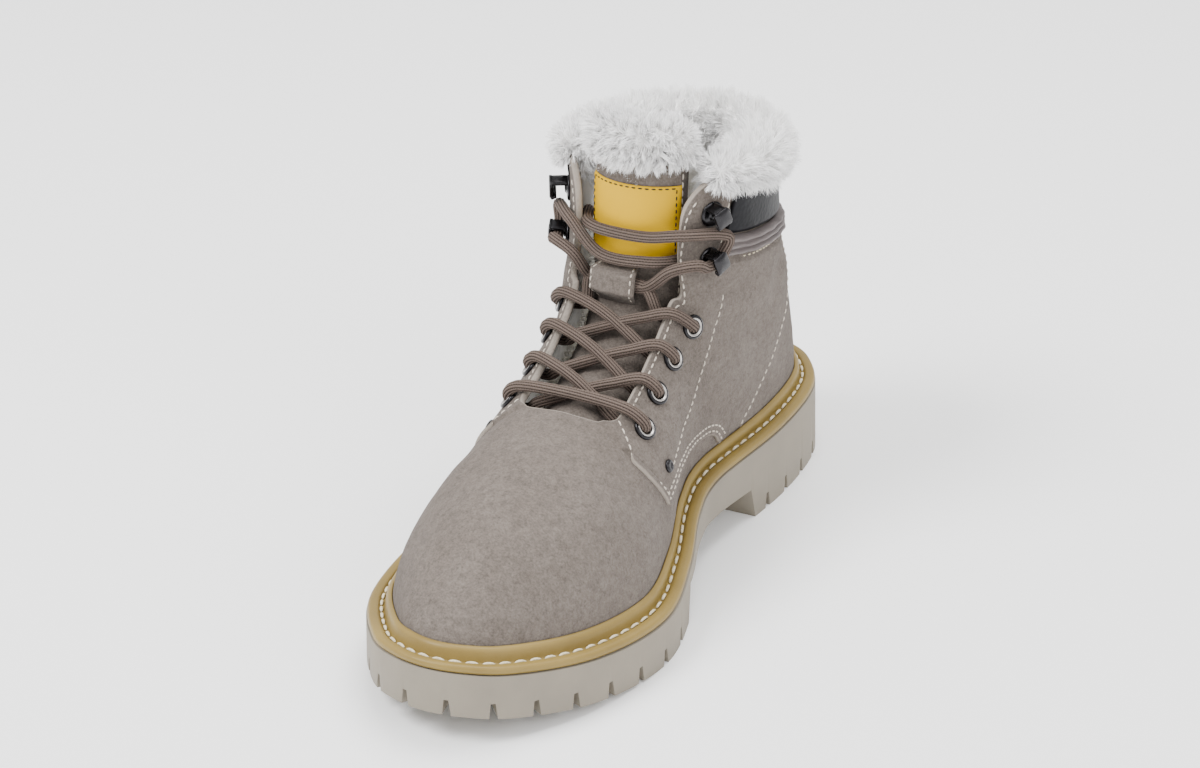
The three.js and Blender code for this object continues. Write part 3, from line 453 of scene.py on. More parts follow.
def carried_frames(line):
    """Two directions across a line at each point, carried along it without twisting."""
    tangent = unit(np.gradient(line, axis=0))
    side = unit(np.cross(tangent[0], [0.3, 0.2, 0.9]))
    sides = []
    for t in tangent:
        side = unit(side - t * (side @ t))
        sides.append(side)
    sides = np.array(sides)
    return tangent, sides, np.cross(tangent, sides)


def tube_into(parts, points, radius, sides=20, spacing=1.0, ribs=0, rib_depth=0.0, twist=0.0):
    """Adds a round cord through points. Its UV runs round it and along it in millimetres."""
    line, at = spline(points, spacing)
    _, across, up = carried_frames(line)
    angle = np.arange(sides) / sides * 2 * np.pi
    r = radius * (1 - rib_depth + rib_depth * np.abs(np.cos(ribs * angle / 2)))
    turn = angle[None, :] + twist * at[:, None]
    ring = (
        line[:, None]
        + (r * np.cos(turn))[..., None] * across[:, None]
        + (r * np.sin(turn))[..., None] * up[:, None]
    )
    faces = grid_faces(len(line), sides, closed_columns=True)
    faces += caps(len(line), sides)
    uv = np.stack(np.broadcast_arrays(angle[None] / (2 * np.pi), at[:, None]), -1)
    parts.add(ring, faces, uv)


def stitches_into(parts, line, normals, length=2.6, gap=1.1, radius=0.42, sink=0.12, sides=6):
    """Adds a row of stitches along a line of points that lies on a surface."""
    line, normals = np.asarray(line, float), np.asarray(normals, float)
    distance = np.concatenate([[0], np.cumsum(np.linalg.norm(np.diff(line, axis=0), axis=1))])
    count = int(distance[-1] / (length + gap))
    pitch = distance[-1] / max(count, 1)
    angle = np.arange(sides) / sides * 2 * np.pi
    share = np.array([0, 0.12, 0.35, 0.65, 0.88, 1])
    fat = np.array([0.45, 0.85, 1, 1, 0.85, 0.45])
    for k in range(count):
        at = (pitch - length) / 2 + k * pitch + share * length
        p = np.stack([np.interp(at, distance, line[:, i]) for i in range(3)], -1)
        n = unit(np.stack([np.interp(at, distance, normals[:, i]) for i in range(3)], -1))
        rise = radius * (0.75 * np.sin(np.pi * share) - sink) - radius * 0.2
        t = unit(p[-1] - p[0])
        b = unit(np.cross(n, t))
        centre = p + n * rise[:, None]
        ring = (
            centre[:, None]
            + (radius * fat)[:, None, None] * np.cos(angle)[None, :, None] * b[:, None]
            + (radius * 0.8 * fat)[:, None, None] * np.sin(angle)[None, :, None] * n[:, None]
        )
        faces = grid_faces(len(share), sides, closed_columns=True)
        faces += caps(len(share), sides)
        parts.add(ring, faces)


def lathe_into(parts, profile, matrix, sides=40):
    """Adds a turned shape. The profile goes out (r) and up (h) in the matrix's own frame."""
    profile = np.asarray(profile, float)
    angle = np.arange(sides) / sides * 2 * np.pi
    r, h = profile[:, 0][:, None], profile[:, 1][:, None]
    local = np.stack([r * np.cos(angle), r * np.sin(angle), h + 0 * angle], -1).reshape(-1, 3)
    closed = np.allclose(profile[0], profile[-1])
    if closed:
        local = local[:-sides]
    rows = len(profile) - int(closed)
    faces = grid_faces(rows, sides, closed_rows=closed, closed_columns=True)
    if not closed:
        faces += caps(rows, sides)
    parts.add(local @ matrix[:3, :3].T + matrix[:3, 3], faces)


def frame_on(way, up, distance):
    """A frame on the upper: x round to the heel, y up to the topline and z out of the leather."""
    z = upper_normal(way, up)
    ahead = upper_point(way, min(up + 0.01, 1)) - upper_point(way, up - 0.01)
    y = unit(ahead - z * (ahead @ z))
    matrix = np.eye(4)
    matrix[:3, 0], matrix[:3, 1], matrix[:3, 2] = np.cross(y, z), y, z
    matrix[:3, 3] = upper_offset(way, up, distance)
    return matrix


# Materials
class Recipe:
    """A material, with short ways to add its nodes. A value is a socket, a number or a colour."""

    def __init__(self, name, color, roughness, metallic=0.0, sheen=0.0, specular=0.5, coat=0.0):
        self.material = bpy.data.materials.new(name)
        self.material.use_nodes = True
        self.nodes, self.links = self.material.node_tree.nodes, self.material.node_tree.links
        self.shader = self.nodes["Principled BSDF"]
        self.shader.inputs["Base Color"].default_value = (*color, 1)
        self.shader.inputs["Roughness"].default_value = roughness
        self.shader.inputs["Metallic"].default_value = metallic
        self.shader.inputs["Sheen Weight"].default_value = sheen
        self.shader.inputs["Sheen Roughness"].default_value = 0.5
        self.shader.inputs["Specular IOR Level"].default_value = specular
        self.shader.inputs["Coat Weight"].default_value = coat
        self.place = self.nodes.new("ShaderNodeTexCoord").outputs

    def put(self, socket, value):
        if isinstance(value, bpy.types.NodeSocket):
            self.links.new(value, socket)
        else:
            socket.default_value = (*value, 1) if isinstance(value, tuple) else value

    def color(self, value):
        self.put(self.shader.inputs["Base Color"], value)

    def noise(self, scale, detail=3.0, rough=0.55, distortion=0.0):
        node = self.nodes.new("ShaderNodeTexNoise")
        values = {"Scale": scale, "Detail": detail, "Roughness": rough, "Distortion": distortion}
        for name, value in values.items():
            node.inputs[name].default_value = value
        self.put(node.inputs["Vector"], self.place["Object"])
        return node.outputs["Fac"]

    def ramp(self, factor, *stops):
        """Colours, or greys given as one number, at their places along a factor."""
        node = self.nodes.new("ShaderNodeValToRGB")
        elements = node.color_ramp.elements
        while len(elements) < len(stops):
            elements.new(0.5)
        for element, (position, color) in zip(elements, stops):
            element.position = position
            element.color = (*color, 1) if isinstance(color, tuple) else (color, color, color, 1)
        self.put(node.inputs["Fac"], factor)
        return node.outputs["Color"]

    def mixed(self, factor, a, b, blend="MIX"):
        node = self.nodes.new("ShaderNodeMix")
        node.data_type = "RGBA"
        node.blend_type = blend
        for key, value in (("Factor", factor), (6, a), (7, b)):
            self.put(node.inputs[key], value)
        return node.outputs[2]

    def math(self, operation, *values):
        node = self.nodes.new("ShaderNodeMath")
        node.operation = operation
        for socket, value in zip(node.inputs, values):
            self.put(socket, value)
        return node.outputs[0]

    def across_and_along(self):
        split = self.nodes.new("ShaderNodeSeparateXYZ")
        self.put(split.inputs["Vector"], self.place["UV"])
        return split.outputs["X"], split.outputs["Y"]

    def wear(self, factor, low, high):
        """Roughness that goes from low to high with a factor."""
        node = self.nodes.new("ShaderNodeMapRange")
        node.inputs["To Min"].default_value = low
        node.inputs["To Max"].default_value = high
        self.put(node.inputs["Value"], factor)
        self.put(self.shader.inputs["Roughness"], node.outputs["Result"])

    def bump(self, height, strength, distance):
        node = self.nodes.new("ShaderNodeBump")
        node.inputs["Strength"].default_value = strength
        node.inputs["Distance"].default_value = distance
        self.put(node.inputs["Height"], height)
        self.put(self.shader.inputs["Normal"], node.outputs["Normal"])


def suede_material(name, dark, light, raw):
    """Suede: brushed patches and a fine nap. Its cut edges are raw, by the edge attribute."""
    made = Recipe(name, light, 0.95, sheen=0.06, specular=0.08)
    patches, nap, fine = made.noise(18, 4, 0.6, 0.5), made.noise(330, 6, 0.75), made.noise(1100, 3, 0.7)
    base = made.ramp(patches, (0.25, dark), (0.75, light))
    grain = made.ramp(nap, (0.36, (0.74, 0.735, 0.73)), (0.5, 0.97), (0.64, 1.16))
    color = made.mixed(0.8, base, grain, "MULTIPLY")
    color = made.mixed(0.7, color, made.ramp(fine, (0.34, 0.7), (0.62, 1.18)), "MULTIPLY")
    edge = made.nodes.new("ShaderNodeAttribute")
    edge.attribute_name = "edge"
    made.color(made.mixed(edge.outputs["Fac"], color, raw))
    made.bump(made.math("ADD", fine, made.math("MULTIPLY", nap, 1.8)), 0.8, 0.0006)
    return made.material


def rubber_material(name, dark, light, roughness):
    made = Recipe(name, light, roughness, specular=0.35)
    cloud = made.noise(30, 3, 0.6)
    made.color(made.ramp(cloud, (0.3, dark), (0.7, light)))
    made.wear(cloud, roughness - 0.08, roughness + 0.12)
    made.bump(made.noise(900, 3, 0.6), 0.18, 0.0003)
    return made.material


def leather_material(name, dark, light, roughness, grain_scale=520, depth=0.35):
    """Smooth leather with a fine cell grain."""
    made = Recipe(name, light, roughness, specular=0.1)
    cells = made.nodes.new("ShaderNodeTexVoronoi")
    cells.inputs["Scale"].default_value = grain_scale
    made.put(cells.inputs["Vector"], made.place["Object"])
    made.color(made.ramp(made.noise(45, 4, 0.6), (0.3, dark), (0.7, light)))
    made.bump(cells.outputs["Distance"], depth, 0.0003)
    return made.material


def thread_material(name, dark, light):
    made = Recipe(name, light, 0.75, specular=0.2)
    fine = made.noise(1200, 2, 0.6)
    made.color(made.ramp(fine, (0.3, dark), (0.65, light)))
    made.bump(fine, 0.3, 0.0002)
    return made.material


def lace_material(name, dark, light, strands_round=8, strand_pitch=1.1):
    """A braided round lace: ribs along it, crossed by the braid's slanting strands. Its colour holds painted
    shade: dark in the grooves between ribs and strands, light on their tops.
    """
    made = Recipe(name, (0.11, 0.085, 0.072), 0.85, specular=0.12)
    across, along = made.across_and_along()
    round_it = made.math("MULTIPLY", across, 2 * math.pi * strands_round)
    along_it = made.math("MULTIPLY", along, 2 * math.pi / strand_pitch)
    rising, falling = (made.math("SINE", made.math(way, round_it, along_it)) for way in ("ADD", "SUBTRACT"))
    rib = made.math("COSINE", made.math("MULTIPLY", across, math.pi * LACE_RIBS))
    rib = made.math("MULTIPLY", made.math("ABSOLUTE", rib), 0.84)
    tone = made.math("MULTIPLY_ADD", made.math("MAXIMUM", rising, falling), 0.16, rib)
    # painted shade: the colour follows the relief, dark in the braid's grooves and light on its rib and
    # strand tops
    color = made.ramp(tone, (0.12, dark), (0.75, light))
    speck = made.ramp(made.noise(1400, 2, 0.6), (0.3, 0.75), (0.65, (1.15, 1.13, 1.1)))
    made.color(made.mixed(0.7, color, speck, "MULTIPLY"))
    made.bump(tone, 0.5, 0.0004)
    return made.material


def metal_material(name, color, roughness):
    made = Recipe(name, color, roughness, metallic=0.9, coat=0.3)
    made.wear(made.noise(160, 4, 0.6), roughness - 0.06, roughness + 0.16)
    made.bump(made.noise(700, 2, 0.5), 0.08, 0.0002)
    return made.material


def fur_material(name, root, tip):
    """Pile that is a little deeper in tone at its roots. UV y goes from root to tip."""
    made = Recipe(name, tip, 0.85, specular=0.2)
    _, along = made.across_and_along()
    length = made.math("MULTIPLY_ADD", made.noise(90, 3, 0.6), 0.35, along)
    made.color(made.ramp(length, (0.1, root), (0.75, tip)))
    return made.material


def woven_material(name, dark, light, threads_per_mm):
    """A close woven label: fine crossing threads."""
    made = Recipe(name, light, 0.7, specular=0.12)
    turn = 2 * math.pi * threads_per_mm
    waves = [made.math("SINE", made.math("MULTIPLY", place, turn)) for place in made.across_and_along()]
    weave = made.math("MULTIPLY_ADD", made.math("MULTIPLY", *waves), 0.5, 0.5)
    made.color(made.ramp(weave, (0.1, dark), (0.8, light)))
    made.bump(weave, 0.35, 0.0002)
    return made.material


SUEDE = suede_material("suede", (0.122, 0.101, 0.086), (0.18, 0.154, 0.135), (0.36, 0.315, 0.27))
FACING_BACK = leather_material("facing_back", (0.165, 0.15, 0.125), (0.215, 0.195, 0.165), 0.6)
OUTSOLE = rubber_material("outsole_rubber", (0.205, 0.18, 0.142), (0.247, 0.218, 0.172), 0.62)
WELT = rubber_material("welt_rubber", (0.185, 0.125, 0.03), (0.25, 0.172, 0.043), 0.45)
BLACK = leather_material("black_leather", (0.004, 0.004, 0.005), (0.009, 0.009, 0.011), 0.5)
ROLL = leather_material("roll_satin", (0.115, 0.098, 0.095), (0.185, 0.16, 0.155), 0.5, 900, 0.2)
CREAM_THREAD = thread_material("cream_thread", (0.50, 0.43, 0.29), (0.70, 0.63, 0.47))
TAUPE_THREAD = thread_material("taupe_thread", (0.42, 0.37, 0.31), (0.62, 0.56, 0.48))
BLACK_THREAD = thread_material("black_thread", (0.012, 0.012, 0.012), (0.03, 0.03, 0.03))
# the lace's dark colour is painted shade for the braid's grooves
LACE = lace_material("lace_braid", (0.022, 0.016, 0.013), (0.13, 0.1, 0.085))
GUNMETAL = metal_material("gunmetal", (0.016, 0.015, 0.017), 0.24)
BRIGHT = metal_material("bright_ring", (0.42, 0.40, 0.38), 0.3)
FUR = fur_material("fur_pile", (0.93, 0.92, 0.9), (0.985, 0.98, 0.975))
WOOL = fur_material("lining_wool", (0.86, 0.83, 0.76), (0.95, 0.93, 0.88))
LABEL = woven_material("label_weave", (0.55, 0.30, 0.0), (0.74, 0.45, 0.004), 1.6)


# Camera, light and floor
CAMERA_PLACE = Vector((466.4, -945.2, 598.0)) * MM
CAMERA_TARGET = Vector((-4.0, 0.0, 74.0)) * MM
CAMERA_ROLL = math.radians(-0.4)
LENS = 91

camera = bpy.data.objects.new("camera", bpy.data.cameras.new("camera"))
bpy.context.scene.collection.objects.link(camera)
camera.data.lens = LENS
camera.data.sensor_width = 36
camera.location = CAMERA_PLACE
camera.rotation_mode = "QUATERNION"
aim = (CAMERA_TARGET - CAMERA_PLACE).to_track_quat("-Z", "Y")
camera.rotation_quaternion = aim @ Matrix.Rotation(CAMERA_ROLL, 3, "Z").to_quaternion()
bpy.context.scene.camera = camera


def area_light(name, place, size, power, target=(0, 0, 0.07)):
    light = bpy.data.lights.new(name, "AREA")
    light.shape = "DISK"
    light.size = size
    light.energy = power
    holder = bpy.data.objects.new(name, light)
    holder.location = place
    holder.rotation_mode = "QUATERNION"
    holder.rotation_quaternion = (Vector(target) - Vector(place)).to_track_quat("-Z", "Y")
    bpy.context.scene.collection.objects.link(holder)


area_light("key", (-0.75, -0.9, 1.5), 0.9, 42)
area_light("fill", (1.3, -0.5, 0.9), 1.2, 12)
area_light("top", (0.1, 0.5, 1.7), 1.1, 30)

world = bpy.data.worlds.new("studio")
world.use_nodes = True
world.node_tree.nodes["Background"].inputs["Color"].default_value = (1, 1, 1, 1)
world.node_tree.nodes["Background"].inputs["Strength"].default_value = 1.05
bpy.context.scene.world = world

floor_paint = Recipe("floor_paint", (0.97, 0.97, 0.97), 0.9, specular=0.2)
floor_paint.bump(floor_paint.noise(40, 2), 0.02, 0.0005)
FLOOR_HALF = 4.0
floor_mesh = bpy.data.meshes.new("floor")
floor_mesh.from_pydata(
    [(x * FLOOR_HALF, y * FLOOR_HALF, 0) for x, y in ((-1, -1), (1, -1), (1, 1), (-1, 1))],
    [], [(0, 1, 2, 3)])
floor_mesh.materials.append(floor_paint.material)
floor = bpy.data.objects.new("floor", floor_mesh)
bpy.context.scene.collection.objects.link(floor)


# Outsole
WAY_STEPS = 300
SHARP_FROM = math.radians(35)
SOLE_EDGE = 0.55
SLOT_DRAFT = 0.7  # a slot's width at its top, as a share of its width at the ground
SLOT_FLARE = 0.9
TREAD_MARGIN = 6
BELOW_GROUND = 6


def ring_ways(count):
    """Even places all the way round: 0 to 2, from the inner toe by the heel to the outer toe."""
    return np.arange(count) / count * 2


def outline_ring(count, outwards):
    return ring_at(ring_ways(count), outwards)


def prism(outline_low, outline_high, z_low, z_high):
    """Points and faces of a block between two outlines with the same number of points."""
    count = len(outline_low)
    low = np.column_stack([outline_low, np.full(count, z_low)])
    high = np.column_stack([outline_high, np.full(count, z_high)])
    return np.vstack([low, high]), grid_faces(2, count, closed_columns=True) + caps(2, count)


def side_plate(outline, x_low, x_high):
    """A plate whose outline is drawn in the side view."""
    outline = np.asarray(outline, float)
    count = len(outline)
    low = np.column_stack([np.full(count, x_low), outline])
    high = np.column_stack([np.full(count, x_high), outline])
    return np.vstack([low, high]), grid_faces(2, count, closed_columns=True) + caps(2, count)


def cutter(name, points, faces):
    """A scratch solid for a boolean."""
    mesh = bpy.data.meshes.new(name)
    mesh.from_pydata((np.asarray(points) * MM).tolist(), [], faces)
    face_outwards(mesh)
    solid = bpy.data.objects.new(name, mesh)
    bpy.context.scene.collection.objects.link(solid)
    return solid


def apply_modifiers(solid):
    bpy.context.view_layer.update()
    evaluated = solid.evaluated_get(bpy.context.evaluated_depsgraph_get())
    result = bpy.data.meshes.new_from_object(evaluated)
    solid.modifiers.clear()
    solid.data = result


def cut(solid, tool, operation):
    """Applies a boolean to a solid and removes the tool."""
    modifier = solid.modifiers.new("cut", "BOOLEAN")
    modifier.operation = operation
    modifier.solver = "EXACT"
    modifier.use_self = operation == "DIFFERENCE"
    modifier.object = tool
    apply_modifiers(solid)
    bpy.data.objects.remove(tool)


def make_outsole():
    back = SOLE_LENGTH / 2 + 10
    breast = SOLE_LENGTH / 2 - HEEL_LENGTH
    ball_end = along_sole(ARCH_FRONT)
    spring_from = along_sole(SPRING_FROM)
    block = cutter("lugged_outsole", *prism(
        outline_ring(WAY_STEPS, SOLE_FLARE), outline_ring(WAY_STEPS, 0), -1, 60))
    y_top = np.linspace(back, -back, 80)
    y_low = np.linspace(-back, spring_from, 24)
    side_line = [(y, sole_top(y)) for y in y_top] + [(y, spring_at(y)) for y in y_low]
    side_line += [
        (ball_end, 0), (ball_end + 5, ARCH_HEIGHT), ((ball_end + breast) / 2, ARCH_HEIGHT + 1),
        (breast - 3, ARCH_HEIGHT - 1), (breast, 0), (back, 0)]
    cut(block, cutter("profile", *side_plate(side_line, -BALL_WIDTH, BALL_WIDTH)), "INTERSECT")
    tools = Parts()
    half = LUG_SLOT_WIDTH / 2
    for side in (1, -1):
        total = WALKS[side][1][-1]
        d = LUG_PITCH / 2
        while d < total - LUG_PITCH / 3:
            edge = outline_at(side, np.array(d / total), np.array(0.0))
            inwards = unit(edge - outline_at(side, np.array(d / total), np.array(1.0)))
            d += LUG_PITCH
            if ball_end - LUG_PITCH / 2 <= edge[1] <= breast + LUG_PITCH / 2:
                continue
            sideways = np.array([-inwards[1], inwards[0]])
            base = spring_at(edge[1])
            points = []
            for reach in (-5, LUG_SLOT_DEPTH):
                low, high = half + SLOT_FLARE, half * SLOT_DRAFT
                for w, h in ((-low, -4), (low, -4), (high, LUG_HEIGHT), (-high, LUG_HEIGHT)):
                    p = edge + inwards * reach + sideways * w
                    points.append((p[0], p[1], base + h))
            tools.add(points, [[3, 2, 1, 0], [4, 5, 6, 7], *grid_faces(2, 4, closed_columns=True)])
    inset = outline_ring(WAY_STEPS // 2, -(LUG_SLOT_DEPTH - 1))

    def field(y_from, y_to):
        tool = cutter("field", *prism(inset, inset, -BELOW_GROUND, TREAD_DEPTH + TOE_SPRING))
        ys = np.linspace(y_from, y_to, 9)
        line = [(y, spring_at(y) + TREAD_DEPTH) for y in ys]
        line += [(y_to, -BELOW_GROUND), (y_from, -BELOW_GROUND)]
        cut(tool, cutter("span", *side_plate(line, -BALL_WIDTH, BALL_WIDTH)), "INTERSECT")
        points = np.array([v.co for v in tool.data.vertices]) / MM
        tools.add(points, [list(f.vertices) for f in tool.data.polygons])
        bpy.data.objects.remove(tool)

    toe_end = along_sole(TREAD_FRONT)
    start, bar = toe_end, toe_end + TREAD_BAR_WIDTH
    while bar + TREAD_BAR_WIDTH < ball_end - TREAD_MARGIN:
        field(start, bar)
        start = bar + TREAD_BAR_WIDTH
        bar += 2 * TREAD_BAR_WIDTH
    field(start, ball_end - TREAD_MARGIN)
    heel_from, heel_to = breast + 12, SOLE_LENGTH / 2 - 18
    middle = (heel_from + heel_to) / 2
    field(heel_from, middle - TREAD_BAR_WIDTH / 2)
    field(middle + TREAD_BAR_WIDTH / 2, heel_to)
    cut(block, cutter("tread", np.vstack(tools.points), tools.faces), "DIFFERENCE")
    block.data.materials.clear()
    block.data.materials.append(OUTSOLE)
    soften = block.modifiers.new("soft_edges", "BEVEL")
    soften.width = SOLE_EDGE * MM
    soften.segments = 2
    soften.limit_method = "ANGLE"
    soften.angle_limit = SHARP_FROM
    soften.harden_normals = False
    soften.use_clamp_overlap = True
    apply_modifiers(block)
    block.data.polygons.foreach_set("use_smooth", [True] * len(block.data.polygons))
    block.data.set_sharp_from_angle(angle=SHARP_FROM)
    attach(block, "root")
    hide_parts("outsole")


make_outsole()


# Welt
WELT_STEPS = 420
GROOVE_AT = 0.55  # the stitch groove's place, as a share of the welt's width from its edge
GROOVE_DEPTH = 0.9


def welt_edge(ways, outwards, height):
    p = ring_at(ways, outwards)
    return np.column_stack([p, sole_top(p[:, 1]) + FIT + height])


def make_welt():
    ways = ring_ways(WELT_STEPS)
    foot = upper_point(ways, np.zeros(len(ways)))[:, 2] + WELT_THICKNESS + RIDGE_HEIGHT
    ridge = up_at(ways, lambda y: foot)
    groove = -WELT_WIDTH * GROOVE_AT
    corners = [
        *(welt_edge(ways, outwards, height) for outwards, height in (
            (-1, 0), (0.2, 0.5), (0.5, WELT_THICKNESS * 0.45), (0, WELT_THICKNESS * 0.85),
            (-1.2, WELT_THICKNESS + 0.1), (groove + 1.5, WELT_THICKNESS),
            (groove + 0.8, WELT_THICKNESS - GROOVE_DEPTH), (groove - 0.6, WELT_THICKNESS - GROOVE_DEPTH),
            (groove - 1.1, WELT_THICKNESS + 0.1))),
        *(upper_offset(ways, ridge * share, distance) for share, distance in (
            (0.7, FIT + RIDGE_WIDTH * 0.75), (0.92, FIT + RIDGE_WIDTH * 0.6),
            (1.03, FIT + RIDGE_WIDTH * 0.25), (1, FIT * 0.5), (0.5, FIT * 0.5), (0, FIT))),
    ]
    rows = smooth_section(corners, 3)
    faces = grid_faces(len(rows), WELT_STEPS, True, True)
    new_piece("welt_rim", rows, faces, WELT, slot="welt", stands_for=["welt"])
    seam_ways = np.linspace(0, 2, 1200)
    line = welt_edge(seam_ways, groove + 0.1, WELT_THICKNESS - 0.55)
    normals = np.tile([0.0, 0.0, 1.0], (len(line), 1))
    parts = Parts()
    stitches_into(parts, line, normals, length=4.6, gap=1.5, radius=0.62, sink=0)
    parts.piece("welt_stitches", CREAM_THREAD, slot="insole")


make_welt()


# Upper
UPPER_WAYS = 640
UPPER_ROWS_UP = 116
CLOSER, CLOSE_AT, CLOSE_REACH = 1.6, 0.45, 0.16  # closer columns along the throat
FACING_TO = 0.74
CLOSE_FROM_ROW = 80  # the inner face has few rows below this one
HOLE_REACH = 9
EDGE_THICKNESS = 1.6
EDGE_SOFTNESS = 1.2


def at_of(way):
    """The place from toe to heel, whichever side."""
    return np.where(way <= 1, way, 2 - way)


def side_shares(rows):
    return np.array([(y * SOLE_LENGTH, z * COLLAR_HEIGHT) for y, z in rows])


def flat_spline(points, spacing=2.0):
    line, _ = spline(np.column_stack([np.zeros(len(points)), points]), spacing)
    return line[:, 1:]


# The quarter's outline in the side view, as shares of the sole length and the collar height.
FRONT_EDGE = side_shares([(-0.127, 0.6), (-0.145, 0.5), (-0.105, 0.32)])
LOWER_EDGE = side_shares([(-0.105, 0.32), (-0.03, 0.352), (0.063, 0.335), (0.103, 0.31), (0.122, 0.268)])
COUNTER_EDGE = side_shares([
    (0.178, 0.268), (0.225, 0.36), (0.27, 0.45), (0.31, 0.55), (0.325, 0.64), (0.315, 0.745)])
TAB_EDGE = side_shares([(0.113, 0.83), (0.13, 1.07), (0.135, 1.2)])
TOP_CLOSE = side_shares([(-0.02, 1.2), (-0.02, 0.9)])
QUARTER = np.vstack([
    FRONT_EDGE, flat_spline(LOWER_EDGE)[1:], flat_spline(COUNTER_EDGE), TAB_EDGE, TOP_CLOSE])
FACING_SEAM = np.array([(34.2, 106), (29.5, 95), (22, 84.5), (9.6, 71.5), (-8, 63.5), (-25, 56.5)])


def inside_distance(points, outline):
    """How far inside an outline each point is, below zero outside it."""
    a, b = outline, np.roll(outline, -1, axis=0)
    p = points[..., None, :]
    edge = b - a
    t = clamp01(((p - a) * edge).sum(-1) / np.maximum((edge * edge).sum(-1), 1e-9))
    near = np.linalg.norm(p - (a + edge * t[..., None]), axis=-1).min(-1)
    straddle = (a[:, 1] > p[..., 1]) != (b[:, 1] > p[..., 1])
    slope = np.where(edge[:, 1] == 0, 1e-9, edge[:, 1])
    crossing = a[:, 0] + (p[..., 1] - a[:, 1]) / slope * edge[:, 0]
    inside = (straddle & (p[..., 0] < crossing)).sum(-1) % 2 == 1
    return np.where(inside, near, -near)


def trough(points, line, depth, width):
    """A soft fold along a line in the side view, fading out at its ends."""
    a, b = np.array(line[0], float), np.array(line[1], float)
    edge = b - a
    t = ((points - a) @ edge) / (edge @ edge)
    away = np.linalg.norm(points - (a + edge * clamp01(t)[..., None]), axis=-1)
    fade = smooth(np.minimum(t + 0.25, 1.25 - t) / 0.5)
    profile = np.exp(-(away / width) ** 2) - 0.45 * np.exp(-((away - 1.9 * width) / width) ** 2)
    return -depth * fade * profile


# Folds at the flex line, the ankle and under the collar, in the side view.
FOLDS = [
    (((38, 107), (82, 101)), 1.1, 5), (((28, 92), (66, 79)), 0.9, 6), (((70, 92), (92, 104)), 0.8, 4.5),
    (((-14, 60), (26, 64)), 0.45, 5), (((-60, 74), (-50, 50)), 0.3, 6),
    (((96, 76), (106, 100)), 0.7, 6), (((50, 112), (88, 108)), 0.6, 3.5),
]


def waviness(p):
    """Slow unevenness of worn suede, in millimetres."""
    x, y, z = p[..., 0], p[..., 1], p[..., 2]
    return (
        0.28 * np.sin(0.085 * y + 0.06 * z + 1.3) * np.sin(0.11 * z - 0.05 * x)
        + 0.16 * np.sin(0.21 * y - 0.13 * x + 0.4) * np.sin(0.17 * z + 0.09 * y)
        + 0.07 * np.sin(0.6 * y + 0.5 * z) * np.sin(0.45 * x - 0.3 * z)
    )


def fold_depth(p):
    view = p[..., 1:]
    uneven = 0.35 + 0.65 * smooth((p[..., 1] + 45) / 50)
    return sum(trough(view, line, depth, width) for line, depth, width in FOLDS) + waviness(p) * uneven


def calm_at(up):
    """Folds die away at the welt and at the topline."""
    return smooth(up / 0.16) * smooth((1.0 - up) / 0.08)


def suede_distance(p, up):
    """How far the suede's face stands off the last's section, folds and overlay together."""
    calm = calm_at(np.asarray(up))
    cover = smooth((inside_distance(p[..., 1:], QUARTER) - EDGE_SOFTNESS / 3) / EDGE_SOFTNESS)
    return OVERLAY * cover + fold_depth(p) * calm


def suede_face(way, up):
    """Points on the suede's outer face, and its normals."""
    base = upper_point(way, up)
    distance = suede_distance(base, up)
    normal = upper_normal(way, up)
    return base + normal * distance[..., None], normal


def spot(side, shares):
    """The place (way, up) of a point given as shares in the side view."""
    return tuple(float(v) for v in place_on(side, shares[0] * SOLE_LENGTH, shares[1] * COLLAR_HEIGHT))


EYELET_ENDS = np.array([(-0.092, 0.51), (0.056, 0.675)])
EYELET_COUNT = 4
HOOK_ROWS = [(0.09, 0.845), (0.095, 0.975)]
RIVET_ROW = (-0.085, 0.408)
EYELETS, HOOKS, RIVETS = {}, {}, {}
for side in (1, -1):
    for number in range(EYELET_COUNT):
        share = number / (EYELET_COUNT - 1)
        EYELETS[side, number + 1] = spot(side, (1 - share) * EYELET_ENDS[0] + share * EYELET_ENDS[1])
    for number, row in enumerate(HOOK_ROWS):
        HOOKS[side, number + 1] = spot(side, row)
    RIVETS[side] = spot(side, RIVET_ROW)
SIDE_NAMES = {1: "inner", -1: "outer"}


def mark_edge(piece, values):
    """Says how raw the leather is at each point."""
    mark = piece.data.attributes.new("edge", "FLOAT", "POINT")
    mark.data.foreach_set("value", values.astype(np.float32).ravel())


